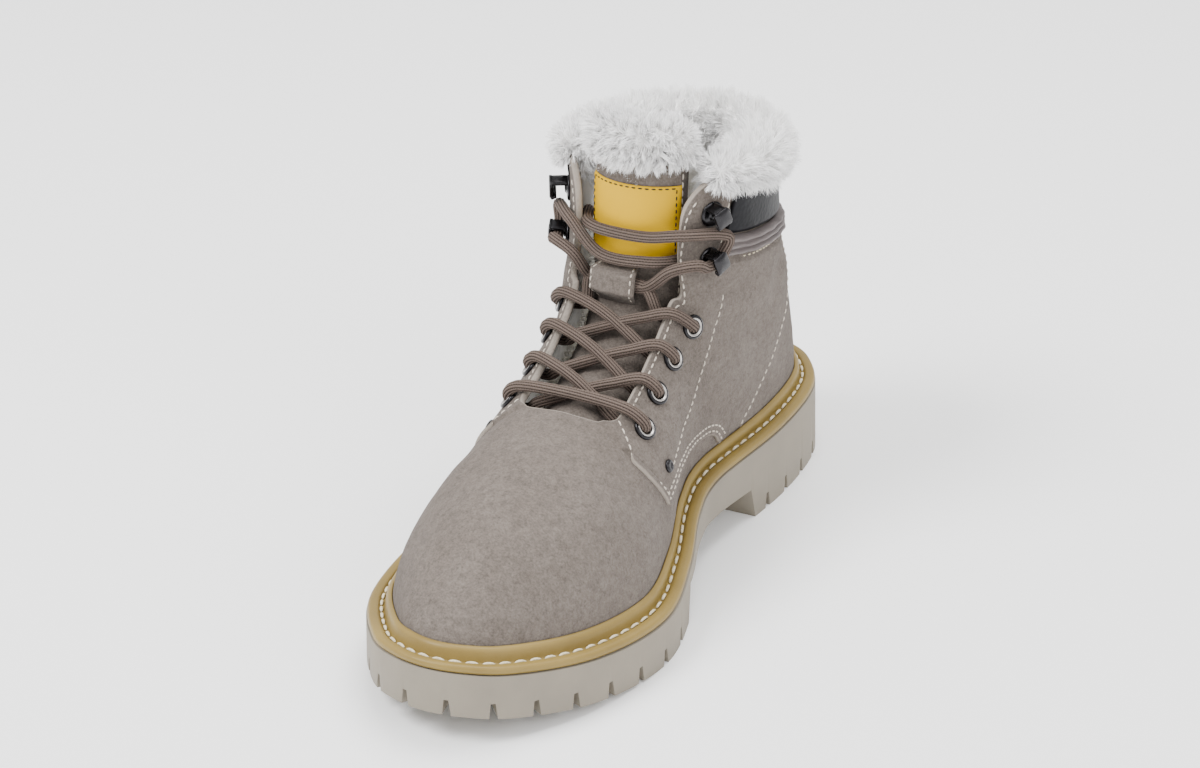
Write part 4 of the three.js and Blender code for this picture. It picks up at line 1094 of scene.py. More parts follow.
def make_upper():
    ways = ring_ways(4000)
    closeness = 1 + CLOSER * np.exp(-((at_of(ways) - CLOSE_AT) / CLOSE_REACH) ** 4)
    share = np.concatenate([[0], np.cumsum(closeness)]) / closeness.sum()
    ways = np.interp(np.arange(UPPER_WAYS) / UPPER_WAYS, share, np.append(ways, 2.0))
    reach = edge_trim(at_of(ways))
    ups = np.linspace(0, 1, UPPER_ROWS_UP)[:, None] * reach[None]
    way_grid = np.broadcast_to(ways, ups.shape)
    base = upper_point(way_grid, ups)
    normal = upper_normal(way_grid, ups)
    distance = suede_distance(base, ups / reach)
    outer = base + normal * distance[..., None]
    few = np.concatenate([
        np.linspace(0, CLOSE_FROM_ROW, 9).astype(int), np.arange(CLOSE_FROM_ROW + 2, UPPER_ROWS_UP, 2)])
    few[-1] = UPPER_ROWS_UP - 1
    thick = WALL - (WALL - EDGE_THICKNESS) * smooth((ups / reach - 0.9) / 0.1) * (at_of(ways) < FACING_TO)
    inner = (base - normal * thick[..., None])[few]
    for face in (outer, inner):
        face[0, :, 2] = sole_top(face[0, :, 1]) + FIT
    rise = unit(base[-1] - base[-2])
    rim = [
        base[-1] + normal[-1] * (distance[-1] * 0.8)[:, None] + rise * 0.45,
        base[-1] - normal[-1] * 0.6 + rise * 0.6,
        base[-1] - normal[-1] * (thick[-1] * 0.85)[:, None] + rise * 0.4,
    ]
    rows = np.concatenate([outer, np.array(rim), inner[::-1]])
    edge = np.zeros(rows.shape[:2])
    edge[UPPER_ROWS_UP:UPPER_ROWS_UP + 3] = 0.9
    faces = np.array(grid_faces(len(rows), UPPER_WAYS, True, True))
    flat = rows.reshape(-1, 3)
    centres = flat[faces].mean(1)
    keep = np.ones(len(faces), bool)
    for way, up in EYELETS.values():
        matrix = frame_on(way, up, 0)
        local = (centres - matrix[:3, 3]) @ matrix[:3, :3]
        near = np.abs(local[:, 2]) < HOLE_REACH
        keep &= ~(near & (np.hypot(local[:, 0], local[:, 1]) < EYELET_BORE + 0.5))
    lining_from = UPPER_ROWS_UP + 2
    is_inside = (faces[:, 0] // UPPER_WAYS) >= lining_from
    faces, is_inside = faces[keep], is_inside[keep]
    piece = new_piece("suede_upper", rows, faces.tolist(), SUEDE, slot="suede", stands_for=["upper"])
    piece.data.materials.append(FACING_BACK)
    piece.data.polygons.foreach_set("material_index", is_inside.astype(int))
    mark_edge(piece, edge)


make_upper()


# Seams
FINE = {"length": 2.3, "gap": 1.0, "radius": 0.36}


def shifted(line, distance):
    """A line in the side view moved to its left."""
    along = unit(np.gradient(line, axis=0))
    return line + np.stack([-along[:, 1], along[:, 0]], -1) * distance


def seam_on_side(parts, side, line, distance=0.0, **stitch):
    line = flat_spline(np.asarray(line, float), 1.0)
    line = shifted(line, distance)
    way, up = place_on(side, line[:, 0], line[:, 1])
    stitches_into(parts, *suede_face(way, up), **stitch)


# The cut edge's section: inwards from the outline, and up from the layer under it
STRIP_SECTION = [
    (0.0, -0.4), (-0.05, 0.3), (0.0, 1.1), (0.25, 1.38), (0.8, 1.46), (2.0, 1.46), (2.6, 1.2), (2.8, 0.4)]


def edge_strip(name, lines):
    """The crisp cut edge of the quarter along its outline, with its light raw side."""
    parts, edge = Parts(), []
    for side in (1, -1):
        for corners in lines:
            line = flat_spline(np.asarray(corners, float), 0.8)
            rows = []
            for inwards, height in STRIP_SECTION:
                moved = shifted(line, inwards)
                way, up = place_on(side, moved[:, 0], moved[:, 1])
                base = upper_point(way, up)
                level = fold_depth(base) * calm_at(up) + height
                rows.append(base + upper_normal(way, up) * level[:, None])
            rows = np.array(rows)
            faces = grid_faces(len(rows), len(line), closed_rows=True)
            first, last = ([r * len(line) + c for r in range(len(rows))] for c in (0, len(line) - 1))
            parts.add(rows, faces + [first[::-1], last])
            raw = np.zeros(rows.shape[:2])
            raw[:4] = np.array([1, 1, 1, 0.5])[:, None]
            edge.append(raw.ravel())
    piece = parts.piece(name, SUEDE, slot="suede")
    mark_edge(piece, np.concatenate(edge))


def topline_seam(parts, way_from, way_to, inset, **stitch):
    ways = np.linspace(way_from, way_to, 160)
    at = at_of(ways)
    ups = edge_trim(at) - inset / (3 * arm_length(at))
    stitches_into(parts, *suede_face(ways, ups), **stitch)


def make_seams():
    parts = Parts()
    for side in (1, -1):
        for line, inset in (
                (FRONT_EDGE, 2.0), (LOWER_EDGE, 1.9), (LOWER_EDGE, 4.4), (COUNTER_EDGE, 1.8),
                (FACING_SEAM, 0.0), (TAB_EDGE[:2] + [(0, 3), (0, -8)], 2.0)):
            seam_on_side(parts, side, line, inset, **FINE)
        edge = (0.34, 0.70) if side == 1 else (1.30, 1.66)
        topline_seam(parts, *edge, 2.3, **FINE)
    parts.piece("upper_stitches", TAUPE_THREAD, slot="suede")


make_seams()
edge_strip("quarter_edge", [FRONT_EDGE, LOWER_EDGE, COUNTER_EDGE])


# Lining and insole
def lumps(p, scale):
    """Woolly unevenness from 0 to 1."""
    x, y, z = (p[..., i] * scale for i in range(3))
    return 0.5 + 0.25 * (
        np.sin(x + 1.7 * np.sin(y * 0.7)) * np.sin(z * 1.1 + 0.6 * np.sin(x * 1.3))
        + np.sin(1.9 * y - z + 0.5) * np.sin(1.6 * z + x * 0.8 + 1.1)
    )


LINING_WAYS = 300
LINING_STEPS = 70
WOOL_DEPTH = 4.5
FACING_WIDTH = 21


def lining_reach(ways):
    """How far up the wool goes: to the top at the collar, and short of the facings elsewhere."""
    at = at_of(ways)
    bare = 1 - FACING_WIDTH / (3 * arm_length(at))
    return bare + (1.0 - bare) * smooth((at - 0.70) / 0.06)


def make_lining():
    ways = ring_ways(LINING_WAYS)
    reach = lining_reach(ways)
    share = np.linspace(0, 1, LINING_STEPS)[:, None]
    ups = 0.02 + share * (reach[None] - 0.02)
    way_grid = np.broadcast_to(ways, ups.shape)
    back = upper_offset(way_grid, ups, np.full(ups.shape, -WALL - 0.15))
    depth = WOOL_DEPTH * smooth(share / 0.04) * smooth((1.03 - share) / 0.06)
    normal = upper_normal(way_grid, ups)
    front = back - normal * (depth * (0.7 + 0.5 * lumps(back, 0.55)))[..., None]
    rows = np.concatenate([back, front[::-1]])
    new_piece("wool_lining", rows, grid_faces(len(rows), LINING_WAYS, True, True), WOOL,
              slot="insole", uv=np.full((rows.shape[0] * LINING_WAYS, 2), 0.5))
    return front, -normal


def make_insole():
    count, rings = 260, 34
    ways = ring_ways(count)
    edge = ring_at(ways, -(WELT_WIDTH + WALL + 2))
    spine = np.column_stack([np.zeros(count), edge[:, 1] * 0.86])
    share = np.linspace(0, 1, rings)[:, None, None]
    flat = edge[None] * (1 - share) + spine[None] * share
    base = sole_top(flat[..., 1]) + FIT
    rise = INSOLE_THICKNESS * smooth((share[..., 0] + 0.02) / 0.12)
    place = np.concatenate([flat, base[..., None]], -1)
    top = place.copy()
    top[..., 2] += rise * (0.86 + 0.14 * lumps(place, 0.6))
    rows = np.concatenate([place[::-1], top])
    faces = grid_faces(len(rows), count, closed_columns=True)
    new_piece("fleece_insole", rows, faces, WOOL, slot="insole", stands_for=["insole"],
              uv=np.full((rows.shape[0] * count, 2), 0.6))


lining_front, lining_normals = make_lining()
make_insole()


# Collar panel and padded roll
def make_band(name, low_line, high_line, profile, material, slot, node, start_gap, rows, columns=300):
    """A band round the heel between two lines in the side view. profile gives how far it stands
    off the upper for a share up the band and the way round."""
    low = side_shares(low_line)
    high = side_shares(high_line)

    def line_height(line, y):
        return np.interp(y, line[:, 0], line[:, 1])

    tab = TAB_EDGE[:2]
    share = np.linspace(0, 1, rows)
    starts = []
    for v in share:
        y = 35.0
        for _ in range(12):
            z = line_height(low, y) * (1 - v) + line_height(high, y) * v
            y = tab[0, 0] + (z - tab[0, 1]) * (tab[1, 0] - tab[0, 0]) / (tab[1, 1] - tab[0, 1]) + start_gap
        starts.append(float(place_on(1, y, z)[0]))
    starts = np.array(starts)[:, None]
    along = np.linspace(0, 1, columns)[None]
    ways = starts + (2 - 2 * starts) * along
    v = np.broadcast_to(share[:, None], ways.shape)
    ups = up_at(ways, lambda y: line_height(low, y) * (1 - v) + line_height(high, y) * v)
    out = upper_offset(ways, ups, profile(v, ways))
    back = upper_offset(ways, ups, np.full(ways.shape, 0.1))
    points, faces = shell(out, back)
    return new_piece(name, points, faces, material, slot=slot, stands_for=[node])


def cuff_profile(v, ways):
    edge = smooth(np.minimum(v, 1 - v) / 0.10) * smooth(np.minimum(ways - 0.70, 1.30 - ways) / 0.05)
    return 0.5 + (CUFF_THICKNESS - 0.5) * edge + 0.12 * np.sin(ways * 95) * np.sin(v * 5)


ROLL_RIBS = 3


def roll_profile(v, ways):
    ribs = np.abs(np.sin(np.pi * ROLL_RIBS * clamp01(v))) ** 0.6
    pucker = 1 + 0.07 * np.sin(ways * 190 + 5 * v) + 0.05 * np.sin(ways * 73)
    ends = smooth(np.minimum(v, 1 - v) / 0.05 + 0.1)
    return 0.5 + (ROLL_THICKNESS - 0.5) * (0.35 + 0.65 * ribs) * pucker * ends


CUFF_LOW = [(0.1, 0.905), (0.6, 0.713)]
CUFF_HIGH = [(0.1, 1.05), (0.14, 1.03), (0.25, 0.99), (0.6, 0.97)]
ROLL_LOW = [(0.09, 0.847), (0.6, 0.66)]
ROLL_HIGH = [(0.09, 0.903), (0.6, 0.712)]
make_band("collar_panel", CUFF_LOW, CUFF_HIGH, cuff_profile, BLACK, "black_leather", "cuff", 0.6, 26)
roll = make_band(
    "collar_roll", ROLL_LOW, ROLL_HIGH, roll_profile, ROLL, "roll_leather", "padded_roll", 0.6, 30, 420)


SEAM_FROM = 0.742


def make_collar_seams(drop=2.0):
    """The stitched line under the roll."""
    ways = np.linspace(SEAM_FROM, 2 - SEAM_FROM, 420)
    parts = Parts()
    line = side_shares(ROLL_LOW)
    ups = up_at(ways, lambda y: np.interp(y, line[:, 0], line[:, 1]) - drop)
    stitches_into(parts, *suede_face(ways, ups), **FINE)
    parts.piece("collar_stitches", CREAM_THREAD, slot="suede")


make_collar_seams()


# Tongue, label and lace keeper
TONGUE_ROWS = np.array([
    (0, -0.178, 0.465), (0.1, -0.137, 0.503), (0.25, -0.078, 0.549), (0.4, -0.018, 0.602),
    (0.53, 0.031, 0.675), (0.63, 0.05, 0.78), (0.76, 0.054, 0.9), (0.88, 0.057, 1.02), (1, 0.062, 1.135),
])


def tongue_line(share):
    return np.stack([0 * share, hermite(TONGUE_ROWS, 1, share) * SOLE_LENGTH,
                     hermite(TONGUE_ROWS, 2, share) * COLLAR_HEIGHT], -1)


def tongue_point(share, across, out):
    """A point of the tongue: along its middle line, across it, and out of its face."""
    share, across, out = np.broadcast_arrays(*(np.asarray(v, float) for v in (share, across, out)))
    ahead = unit(tongue_line(np.minimum(share + 0.01, 1)) - tongue_line(np.maximum(share - 0.01, 0)))
    normal = np.stack([0 * share, -ahead[..., 2], ahead[..., 1]], -1)
    angle = np.arcsin(np.clip(across / TONGUE_RADIUS, -0.999, 0.999))
    radius = TONGUE_RADIUS + out
    side = np.zeros(share.shape + (3,))
    side[..., 0] = radius * np.sin(angle)
    return tongue_line(share) + normal * (radius * np.cos(angle) - TONGUE_RADIUS)[..., None] + side


def tongue_share(z):
    shares = np.linspace(0, 1, 2001)
    return float(np.interp(z, tongue_line(shares)[:, 2], shares))


def tongue_sheet(name, low, high, middle, half, thickness, lift, material, steps, rows, uv=False, **rest):
    """A sheet that follows the tongue, with rounded edges. lift is how far its back is off it."""
    share = np.linspace(low, high, rows)[:, None]
    across = middle + np.linspace(-half, half, steps)[None]
    share, across = np.broadcast_arrays(share, across)
    v = (share - low) / (high - low)
    h = (across - middle) / half
    back = lift(v, h)
    edge = np.minimum((1 - np.abs(h)) * half, np.minimum(v, 1 - v) * (high - low) * TONGUE_LENGTH)
    front = back + thickness * (0.35 + 0.65 * smooth(edge / (thickness * 0.8)))
    front += 0.0 if uv else 0.18 * np.sin(across * 0.5 + share * 21) * np.sin(share * 47) * smooth(edge / 3)
    points, faces = shell(tongue_point(share, across, front), tongue_point(share, across, back))
    coordinates = None
    if uv:
        flat = np.stack([across, v * (high - low) * TONGUE_LENGTH], -1)
        coordinates = np.concatenate([flat, flat[::-1]]).reshape(-1, 2)
    return new_piece(name, points, faces, material, uv=coordinates, **rest)


tongue_sheet("suede_tongue", 0, 1, 0, TONGUE_HALF_WIDTH, TONGUE_THICKNESS,
             lambda v, h: np.full(v.shape, -float(TONGUE_THICKNESS)), SUEDE, 64, 180,
             slot="suede", stands_for=["tongue"])
LABEL_ENDS, KEEPER_ENDS = (0.835, 1.05), (0.72, 0.825)
LABEL_LOW, LABEL_HIGH = (tongue_share(end * COLLAR_HEIGHT) for end in LABEL_ENDS)
tongue_sheet("label_patch", LABEL_LOW, LABEL_HIGH, 0, LABEL_HALF_WIDTH, LABEL_THICKNESS,
             lambda v, h: np.full(v.shape, FIT), LABEL, 60, 50, uv=True,
             slot="label", stands_for=["tongue_label"])
KEEPER_LOW, KEEPER_HIGH = (tongue_share(end * COLLAR_HEIGHT) for end in KEEPER_ENDS)
KEEPER_ROOM = 2 * LACE_RADIUS + 4 * FIT


def keeper_lift(v, _):
    return FIT + KEEPER_ROOM * (1 - smooth((np.abs(2 * v - 1) - 0.5) / 0.5))


tongue_sheet("keeper_tab", KEEPER_LOW, KEEPER_HIGH, KEEPER_ACROSS, KEEPER_HALF_WIDTH, KEEPER_THICKNESS,
             keeper_lift, SUEDE, 26, 40, slot="suede", stands_for=["lace_keeper"])


def tongue_seam(parts, corners, out, **stitch):
    """Stitches along straight runs on the tongue between (share, across) corners."""
    for (s0, a0), (s1, a1) in zip(corners, corners[1:]):
        t = np.linspace(0, 1, 60)
        share, across = s0 + (s1 - s0) * t, a0 + (a1 - a0) * t
        level = out(share) if callable(out) else np.full(60, out)
        line = tongue_point(share, across, level)
        normals = unit(tongue_point(share, across, level + 1) - line)
        stitches_into(parts, line, normals, **stitch)


def on_keeper(share):
    """How far the keeper's face is off the tongue."""
    return keeper_lift((share - KEEPER_LOW) / (KEEPER_HIGH - KEEPER_LOW), 0) + KEEPER_THICKNESS


def make_tongue_seams():
    border, inset = Parts(), 1.5
    side = LABEL_HALF_WIDTH - inset
    step = inset / TONGUE_LENGTH
    low, high = LABEL_LOW + step, LABEL_HIGH - step
    corners = [(low, -side), (high, -side), (high, side), (low, side), (low, -side)]
    tongue_seam(border, corners, FIT + LABEL_THICKNESS, length=1.7, gap=0.9, radius=0.3)
    border.piece("label_stitches", BLACK_THREAD, slot="label")
    seams = Parts()
    edge = TONGUE_HALF_WIDTH - 2.2
    for a in (-edge, edge):
        tongue_seam(seams, [(0.3, a), (0.97, a)], 0.0, length=2.3, gap=1.0, radius=0.34)
    reach = KEEPER_HALF_WIDTH - 1.3
    for a in (KEEPER_ACROSS - reach, KEEPER_ACROSS + reach):
        tongue_seam(
            seams, [(KEEPER_LOW + 0.003, a), (KEEPER_HIGH - 0.003, a)],
            on_keeper, length=2.0, gap=0.9, radius=0.34)
    seams.piece("tongue_stitches", TAUPE_THREAD, slot="suede")


make_tongue_seams()


# Eyelets, rivets and hooks
def rounded(corners, radius, steps=4):
    """A profile with its inner corners rounded."""
    corners = np.asarray(corners, float)
    made = [corners[0]]
    for a, b, c in zip(corners, corners[1:], corners[2:]):
        into, away = a - b, c - b
        reach = min(radius, np.linalg.norm(into) / 2, np.linalg.norm(away) / 2)
        p, q = b + unit(into) * reach, b + unit(away) * reach
        for i in range(steps + 1):
            t = i / steps
            made.append((1 - t) ** 2 * p + 2 * t * (1 - t) * b + t * t * q)
    made.append(corners[-1])
    return np.array(made)


def make_eyelet(side, number):
    way, up = EYELETS[side, number]
    matrix = frame_on(way, up, OVERLAY)
    inside = -WALL - OVERLAY
    bore = EYELET_BORE + 0.15
    parts = Parts()
    top = EYELET_SEAT + EYELET_FLANGE
    lathe_into(parts, rounded([
        (bore + 0.35, inside + 0.2), (bore + 0.35, 0), (EYELET_RADIUS, 0),
        (EYELET_RADIUS - 0.1, top - 0.45), (EYELET_RADIUS - 0.8, top), (bore + 0.9, top - 0.1),
        (bore + 0.55, top - 0.5), (bore + 0.35, inside + 0.2)], 0.35), matrix)
    lathe_into(parts, rounded([
        (bore, inside + 0.1), (bore + 1.7, inside - 0.2), (bore + 1.7, inside + 0.6),
        (bore + 0.3, inside + 0.6), (bore, inside + 0.1)], 0.2), matrix)
    name = f"eyelet_{SIDE_NAMES[side]}_{number}"
    parts.piece("ring_" + name, GUNMETAL, slot="metal", stands_for=[name])
    bright = Parts()
    lathe_into(bright, rounded([
        (bore - 0.1, inside + 0.6), (bore + 0.3, inside + 0.6), (bore + 0.3, top - 0.4),
        (bore + 0.95, top - 0.2), (bore + 0.6, top + 0.12), (bore - 0.1, top - 0.3),
        (bore - 0.1, inside + 0.6)], 0.15), matrix)
    bright.piece("lining_" + name, BRIGHT, slot="metal")


def make_rivet(side):
    matrix = frame_on(*RIVETS[side], OVERLAY)
    parts = Parts()
    lathe_into(parts, rounded([
        (0.05, 0.9), (1.0, 0.85), (1.25, 1.35), (2.0, 1.3), (RIVET_RADIUS, 0.7), (RIVET_RADIUS, 0),
        (1.2, -0.3), (1.2, -WALL), (0.05, -WALL)], 0.3), matrix)
    name = f"rivet_{SIDE_NAMES[side]}"
    parts.piece("cap_" + name, GUNMETAL, slot="metal", stands_for=[name])


def rounded_plate(width, length, thickness, corner=1.2, steps=5):
    """A flat plate with round corners, as points and faces about its middle."""
    ring = []
    for sx, sy, start in ((1, 1, 0), (-1, 1, 90), (-1, -1, 180), (1, -1, 270)):
        for i in range(steps + 1):
            a = math.radians(start + 90 * i / steps)
            ring.append((sx * (width / 2 - corner) + corner * math.cos(a),
                         sy * (length / 2 - corner) + corner * math.sin(a)))
    ring = np.array(ring)
    count = len(ring)
    rows = []
    for scale, z in ((0.0, -0.5), (0.94, -0.5), (1, -0.36), (1, 0.36), (0.94, 0.5), (0.0, 0.5)):
        rows.append(np.column_stack([ring * max(scale, 0.02), np.full(count, z * thickness)]))
    faces = grid_faces(len(rows), count, closed_columns=True)
    faces += caps(len(rows), count)
    return np.vstack(rows), faces


def place_plate(parts, matrix, plate, offset, tilt=0.0, stand=False):
    """Puts a plate in the hook's frame, lying flat or standing, tilted about x."""
    points, faces = plate
    if stand:
        points = points[:, [0, 2, 1]]
    c, s = math.cos(tilt), math.sin(tilt)
    turned = points @ np.array([[1, 0, 0], [0, c, s], [0, -s, c]])
    local = turned + np.asarray(offset, float)
    parts.add(local @ matrix[:3, :3].T + matrix[:3, 3], faces)


def make_hook(side, number):
    matrix = frame_on(*HOOKS[side, number], OVERLAY)
    parts = Parts()
    lathe_into(parts, rounded([
        (0.05, HOOK_BASE_THICKNESS + 1.0), (1.6, HOOK_BASE_THICKNESS + 0.9),
        (2.3, HOOK_BASE_THICKNESS + 0.2), (HOOK_BASE_RADIUS - 0.7, HOOK_BASE_THICKNESS),
        (HOOK_BASE_RADIUS, HOOK_BASE_THICKNESS - 0.5), (HOOK_BASE_RADIUS, 0.1), (1.2, -0.2),
        (1.2, -WALL), (0.05, -WALL)], 0.3), matrix)
    neck = HOOK_BASE_RADIUS - HOOK_PLATE
    lip = 2 * HOOK_BASE_RADIUS - 3
    height = HOOK_HEIGHT - 0.6
    place_plate(parts, matrix, rounded_plate(HOOK_NECK, height, HOOK_PLATE, 0.8),
                (0, neck, 0.6 + height / 2), stand=True)
    place_plate(parts, matrix, rounded_plate(HOOK_WIDTH, lip, HOOK_PLATE, 1.5),
                (0, neck + HOOK_PLATE / 2 - lip / 2, HOOK_HEIGHT))
    place_plate(parts, matrix, rounded_plate(HOOK_WIDTH, 2.4, HOOK_PLATE, 0.6),
                (0, neck + HOOK_PLATE / 2 - lip + 0.5, HOOK_HEIGHT - 0.9), tilt=0.5, stand=True)
    name = f"hook_{SIDE_NAMES[side]}_{number}"
    parts.piece("metal_" + name, GUNMETAL, slot="metal", stands_for=[name])


for side, number in EYELETS:
    make_eyelet(side, number)
for side, number in HOOKS:
    make_hook(side, number)
for side in RIVETS:
    make_rivet(side)


# Lace
def in_eyelet(key, depth):
    return upper_offset(*EYELETS[key], depth)


def over_edge(way):
    return upper_offset(way, 1.0, OVERLAY + LACE_RADIUS + 0.3)


def before_edge(way):
    return upper_offset(way, 1.0, OVERLAY) + np.array([0, -LACE_RADIUS - 4 * FIT, 0])


def under_edge(way):
    return upper_offset(way, 1.0, -WALL - LACE_RADIUS - CURVED_FIT)


def over_tongue(z, across, lift):
    return tongue_point(tongue_share(z), across, 2 * FIT + LACE_RADIUS + lift)


def edge_beside(key):
    """The way round where the topline runs closest to an eyelet."""
    way, up = EYELETS[key]
    ways = np.arange(way - 0.1, way + 0.1, 0.001)
    gap = np.linalg.norm(upper_point(ways, np.ones(len(ways))) - upper_point(way, up), axis=-1)
    return float(ways[gap.argmin()])


def through(key):
    """From the middle of the hole to the lace lying over the eyelet, on a tight turn."""
    over = in_eyelet(key, OVERLAY + EYELET_SEAT + EYELET_FLANGE + LACE_RADIUS * 0.75)
    edge = over_edge(edge_beside(key))
    inward = unit(edge - over)
    return [in_eyelet(key, -WALL - 1), in_eyelet(key, -0.5),
            in_eyelet(key, OVERLAY + 1.6) + inward * 0.6, over + inward * 3.2]


def emerging(key):
    """From inside the hole to the lace lying against the back of the facing."""
    under = in_eyelet(key, -WALL - LACE_RADIUS - 2 * FIT)
    inward = unit(under_edge(edge_beside(key)) - under)
    return [in_eyelet(key, -0.5), in_eyelet(key, -WALL - 0.8) + inward * 0.4, under + inward * 3.0]


LACE_LOOK = {"sides": 44, "spacing": 1.3, "ribs": LACE_RIBS, "rib_depth": 0.13, "twist": 0.012}


def make_lace(name, routes, node):
    parts = Parts()
    for route in routes:
        tube_into(parts, route, LACE_RADIUS, **LACE_LOOK)
    parts.piece(name, LACE, slot="lace", stands_for=[node])


near, far = (1, 1), (-1, 1)
bar = [over_edge(edge_beside(key)) for key in (near, far)]
make_lace("braid_bar", [[*through(near), *bar, *through(far)[::-1]]], "lace_bar")


def crossing(number):
    routes = []
    for side, lift in ((1, CROSSING_LIFT), (-1, 2 * CURVED_FIT)):
        start_key, end_key = (side, number), (-side, number + 1)
        start, end = under_edge(edge_beside(start_key)), over_edge(edge_beside(end_key))
        between = [start * (1 - t) + end * t + np.array([0, 0, lift * rise])
                   for t, rise in ((0.28, 0.72), (0.5, 1), (0.72, 0.8))]
        routes.append([*emerging(start_key), start, *between, end, *through(end_key)[::-1]])
    return routes


for number in (1, 2, 3):
    make_lace(f"braid_crossing_{number}", crossing(number), f"lace_crossing_{number}")


def round_hook(key):
    matrix = frame_on(*HOOKS[key], OVERLAY)
    neck = HOOK_BASE_RADIUS - 1.5 * HOOK_PLATE
    height = 2 * FIT + HOOK_BASE_THICKNESS + 0.3 + LACE_RADIUS
    local = [(-9, neck + 3, height + 1), (-5.4, neck - 1.4, height),
             (0, neck - LACE_RADIUS - 2 * FIT, height), (5.4, neck - 1.4, height), (9, neck + 3, height + 1)]
    return [matrix[:3, :3] @ np.array(p) + matrix[:3, 3] for p in local]


def top_run(side, end_z, hook_low, hook_high):
    on_label = FIT + LABEL_THICKNESS + 2 * CURVED_FIT
    beside = KEEPER_HALF_WIDTH + 1.3 * LACE_RADIUS
    keeper_z = sum(KEEPER_ENDS) * COLLAR_HEIGHT / 2
    key = (side, 4)
    way = (lambda at: at) if side == -1 else (lambda at: 2 - at)
    hooked = round_hook((-side, 1))[::-side]
    return [
        *emerging(key), under_edge(edge_beside(key)),
        over_tongue(keeper_z, KEEPER_ACROSS + side * beside, 2 * FIT),
        over_tongue(keeper_z, KEEPER_ACROSS, FIT),
        over_tongue(keeper_z, KEEPER_ACROSS - side * beside, 3 * FIT),
        before_edge(way(hook_low)), *hooked,
        over_edge(way(hook_high)), over_tongue(end_z, -side * 8, on_label),
        over_tongue(end_z, side * 8, on_label),
        over_tongue(end_z, side * (LABEL_HALF_WIDTH - 4), on_label),
        over_tongue(end_z - 0.5, side * (LABEL_HALF_WIDTH + 3), 0),
    ]


# Each run's side, its end's height as a share of the collar's, and its place at the edge
TOP_RUNS = [(1, 0.85, 0.63), (-1, 0.92, 0.635)]
make_lace("braid_top", [
    top_run(side, end * COLLAR_HEIGHT, 0.59, leaving) for side, end, leaving in TOP_RUNS
], "lace_top")


# Fur
FUR_START, FUR_FULL = 0.735, 0.83
FUR_WAYS = 170
FUR_STEPS = 4  # steps between two corners of a fur section
COLLAR_STRANDS, TONGUE_STRANDS, TONGUE_BACK_STRANDS, LINING_STRANDS = 37000, 17000, 9000, 26000


def fur_section(full):
    """The collar's section, out from the topline and up, a little inside the pile's outline."""
    outside = CUFF_THICKNESS + 2 * CURVED_FIT
    inside = -WALL - 2 * CURVED_FIT
    return np.array([
        (inside, 0.6), (outside - 0.6, 0.6), (outside - 0.6, -2.2 * full),
        (outside + 0.6 * full, -2.2 * full),
        (outside + 0.3 + 0.8 * full, 3), (outside - 0.5 + 0.4 * full, 7),
        (-2, FUR_HEIGHT - 4.5 + 2 * full), (-5 - 6 * full, FUR_HEIGHT - 5.5 + 2 * full),
        (-6.5 - 8 * full, 1.5), (-6 - 6 * full, -9), (inside - 1, -9)])


def fur_collar_grid():
    ways = np.linspace(FUR_START, 2 - FUR_START, FUR_WAYS)
    top = upper_point(ways, np.ones(FUR_WAYS))
    normal = upper_normal(ways, np.ones(FUR_WAYS))
    normal[:, 2] = 0
    normal = unit(normal)
    full = smooth((at_of(ways) - FUR_START) / (FUR_FULL - FUR_START))
    rows = []
    for i in range(FUR_WAYS):
        section = smooth_section(fur_section(full[i]), FUR_STEPS)
        ring = top[i] + normal[i] * section[:, :1] + np.array([0, 0, 1.0]) * section[:, 1:]
        rows.append(ring)
    return np.array(rows)


def fur_tongue_grid():
    reach = TONGUE_HALF_WIDTH - 1
    rows = []
    before, last = TONGUE_ROWS[-2], TONGUE_ROWS[-1]
    climb = COLLAR_HEIGHT * (last[2] - before[2]) / (last[0] - before[0])
    for across in np.linspace(-reach, reach, 60):
        full = 1 - (across / (reach + 4)) ** 2
        back = -TONGUE_THICKNESS - 4 * FIT
        section = smooth_section(np.array([
            (back, 1.2), (0.6, 1.2), (0.6, -2 * full), (1 + 1.5 * full, -2 * full), (1 + 3 * full, 2.5),
            (1 + 2 * full, FUR_HEIGHT - 3), (-2, FUR_HEIGHT - 3 + 3 * full), (back - 4, FUR_HEIGHT - 3),
            (back - 5, -1), (back - 4, -8), (back, -8)]), FUR_STEPS)
        ring = []
        for out, up in section:
            down = min(up, 0)
            ring.append(tongue_point(np.array(1 + down / climb), np.array(across), np.array(out))
                        + np.array([0, 0, up - down]))
        rows.append(ring)
    return np.array(rows)


def fur_body(name, grid, node):
    rows, columns = grid.shape[:2]
    faces = grid_faces(rows, columns, closed_columns=True)
    faces += caps(rows, columns)
    return new_piece(name, grid, faces, FUR, slot="fur", stands_for=[node],
                     uv=np.full((rows * columns, 2), 0.1))


def scatter(grid, count, wanted):
    """Random points and normals on a closed grid, where wanted(column share) allows."""
    rows, columns = grid.shape[:2]
    r = rng.uniform(0, rows - 1.001, count * 3)
    c = rng.uniform(0, columns, count * 3)
    r, c = r[wanted(c / columns)][:count], c[wanted(c / columns)][:count]
    r0, c0 = r.astype(int), c.astype(int) % columns
    r1, c1 = r0 + 1, (c0 + 1) % columns
    fr, fc = (r - r0)[:, None], (c - c.astype(int))[:, None]
    a, b, d, e = grid[r0, c0], grid[r0, c1], grid[r1, c0], grid[r1, c1]
    points = (a * (1 - fc) + b * fc) * (1 - fr) + (d * (1 - fc) + e * fc) * fr
    normals = unit(np.cross(d - a, b - a))
    centre = grid.mean(1)[r0]
    flip = np.sign(((points - centre) * normals).sum(-1))[:, None]
    return points, normals * np.where(flip == 0, 1, flip)


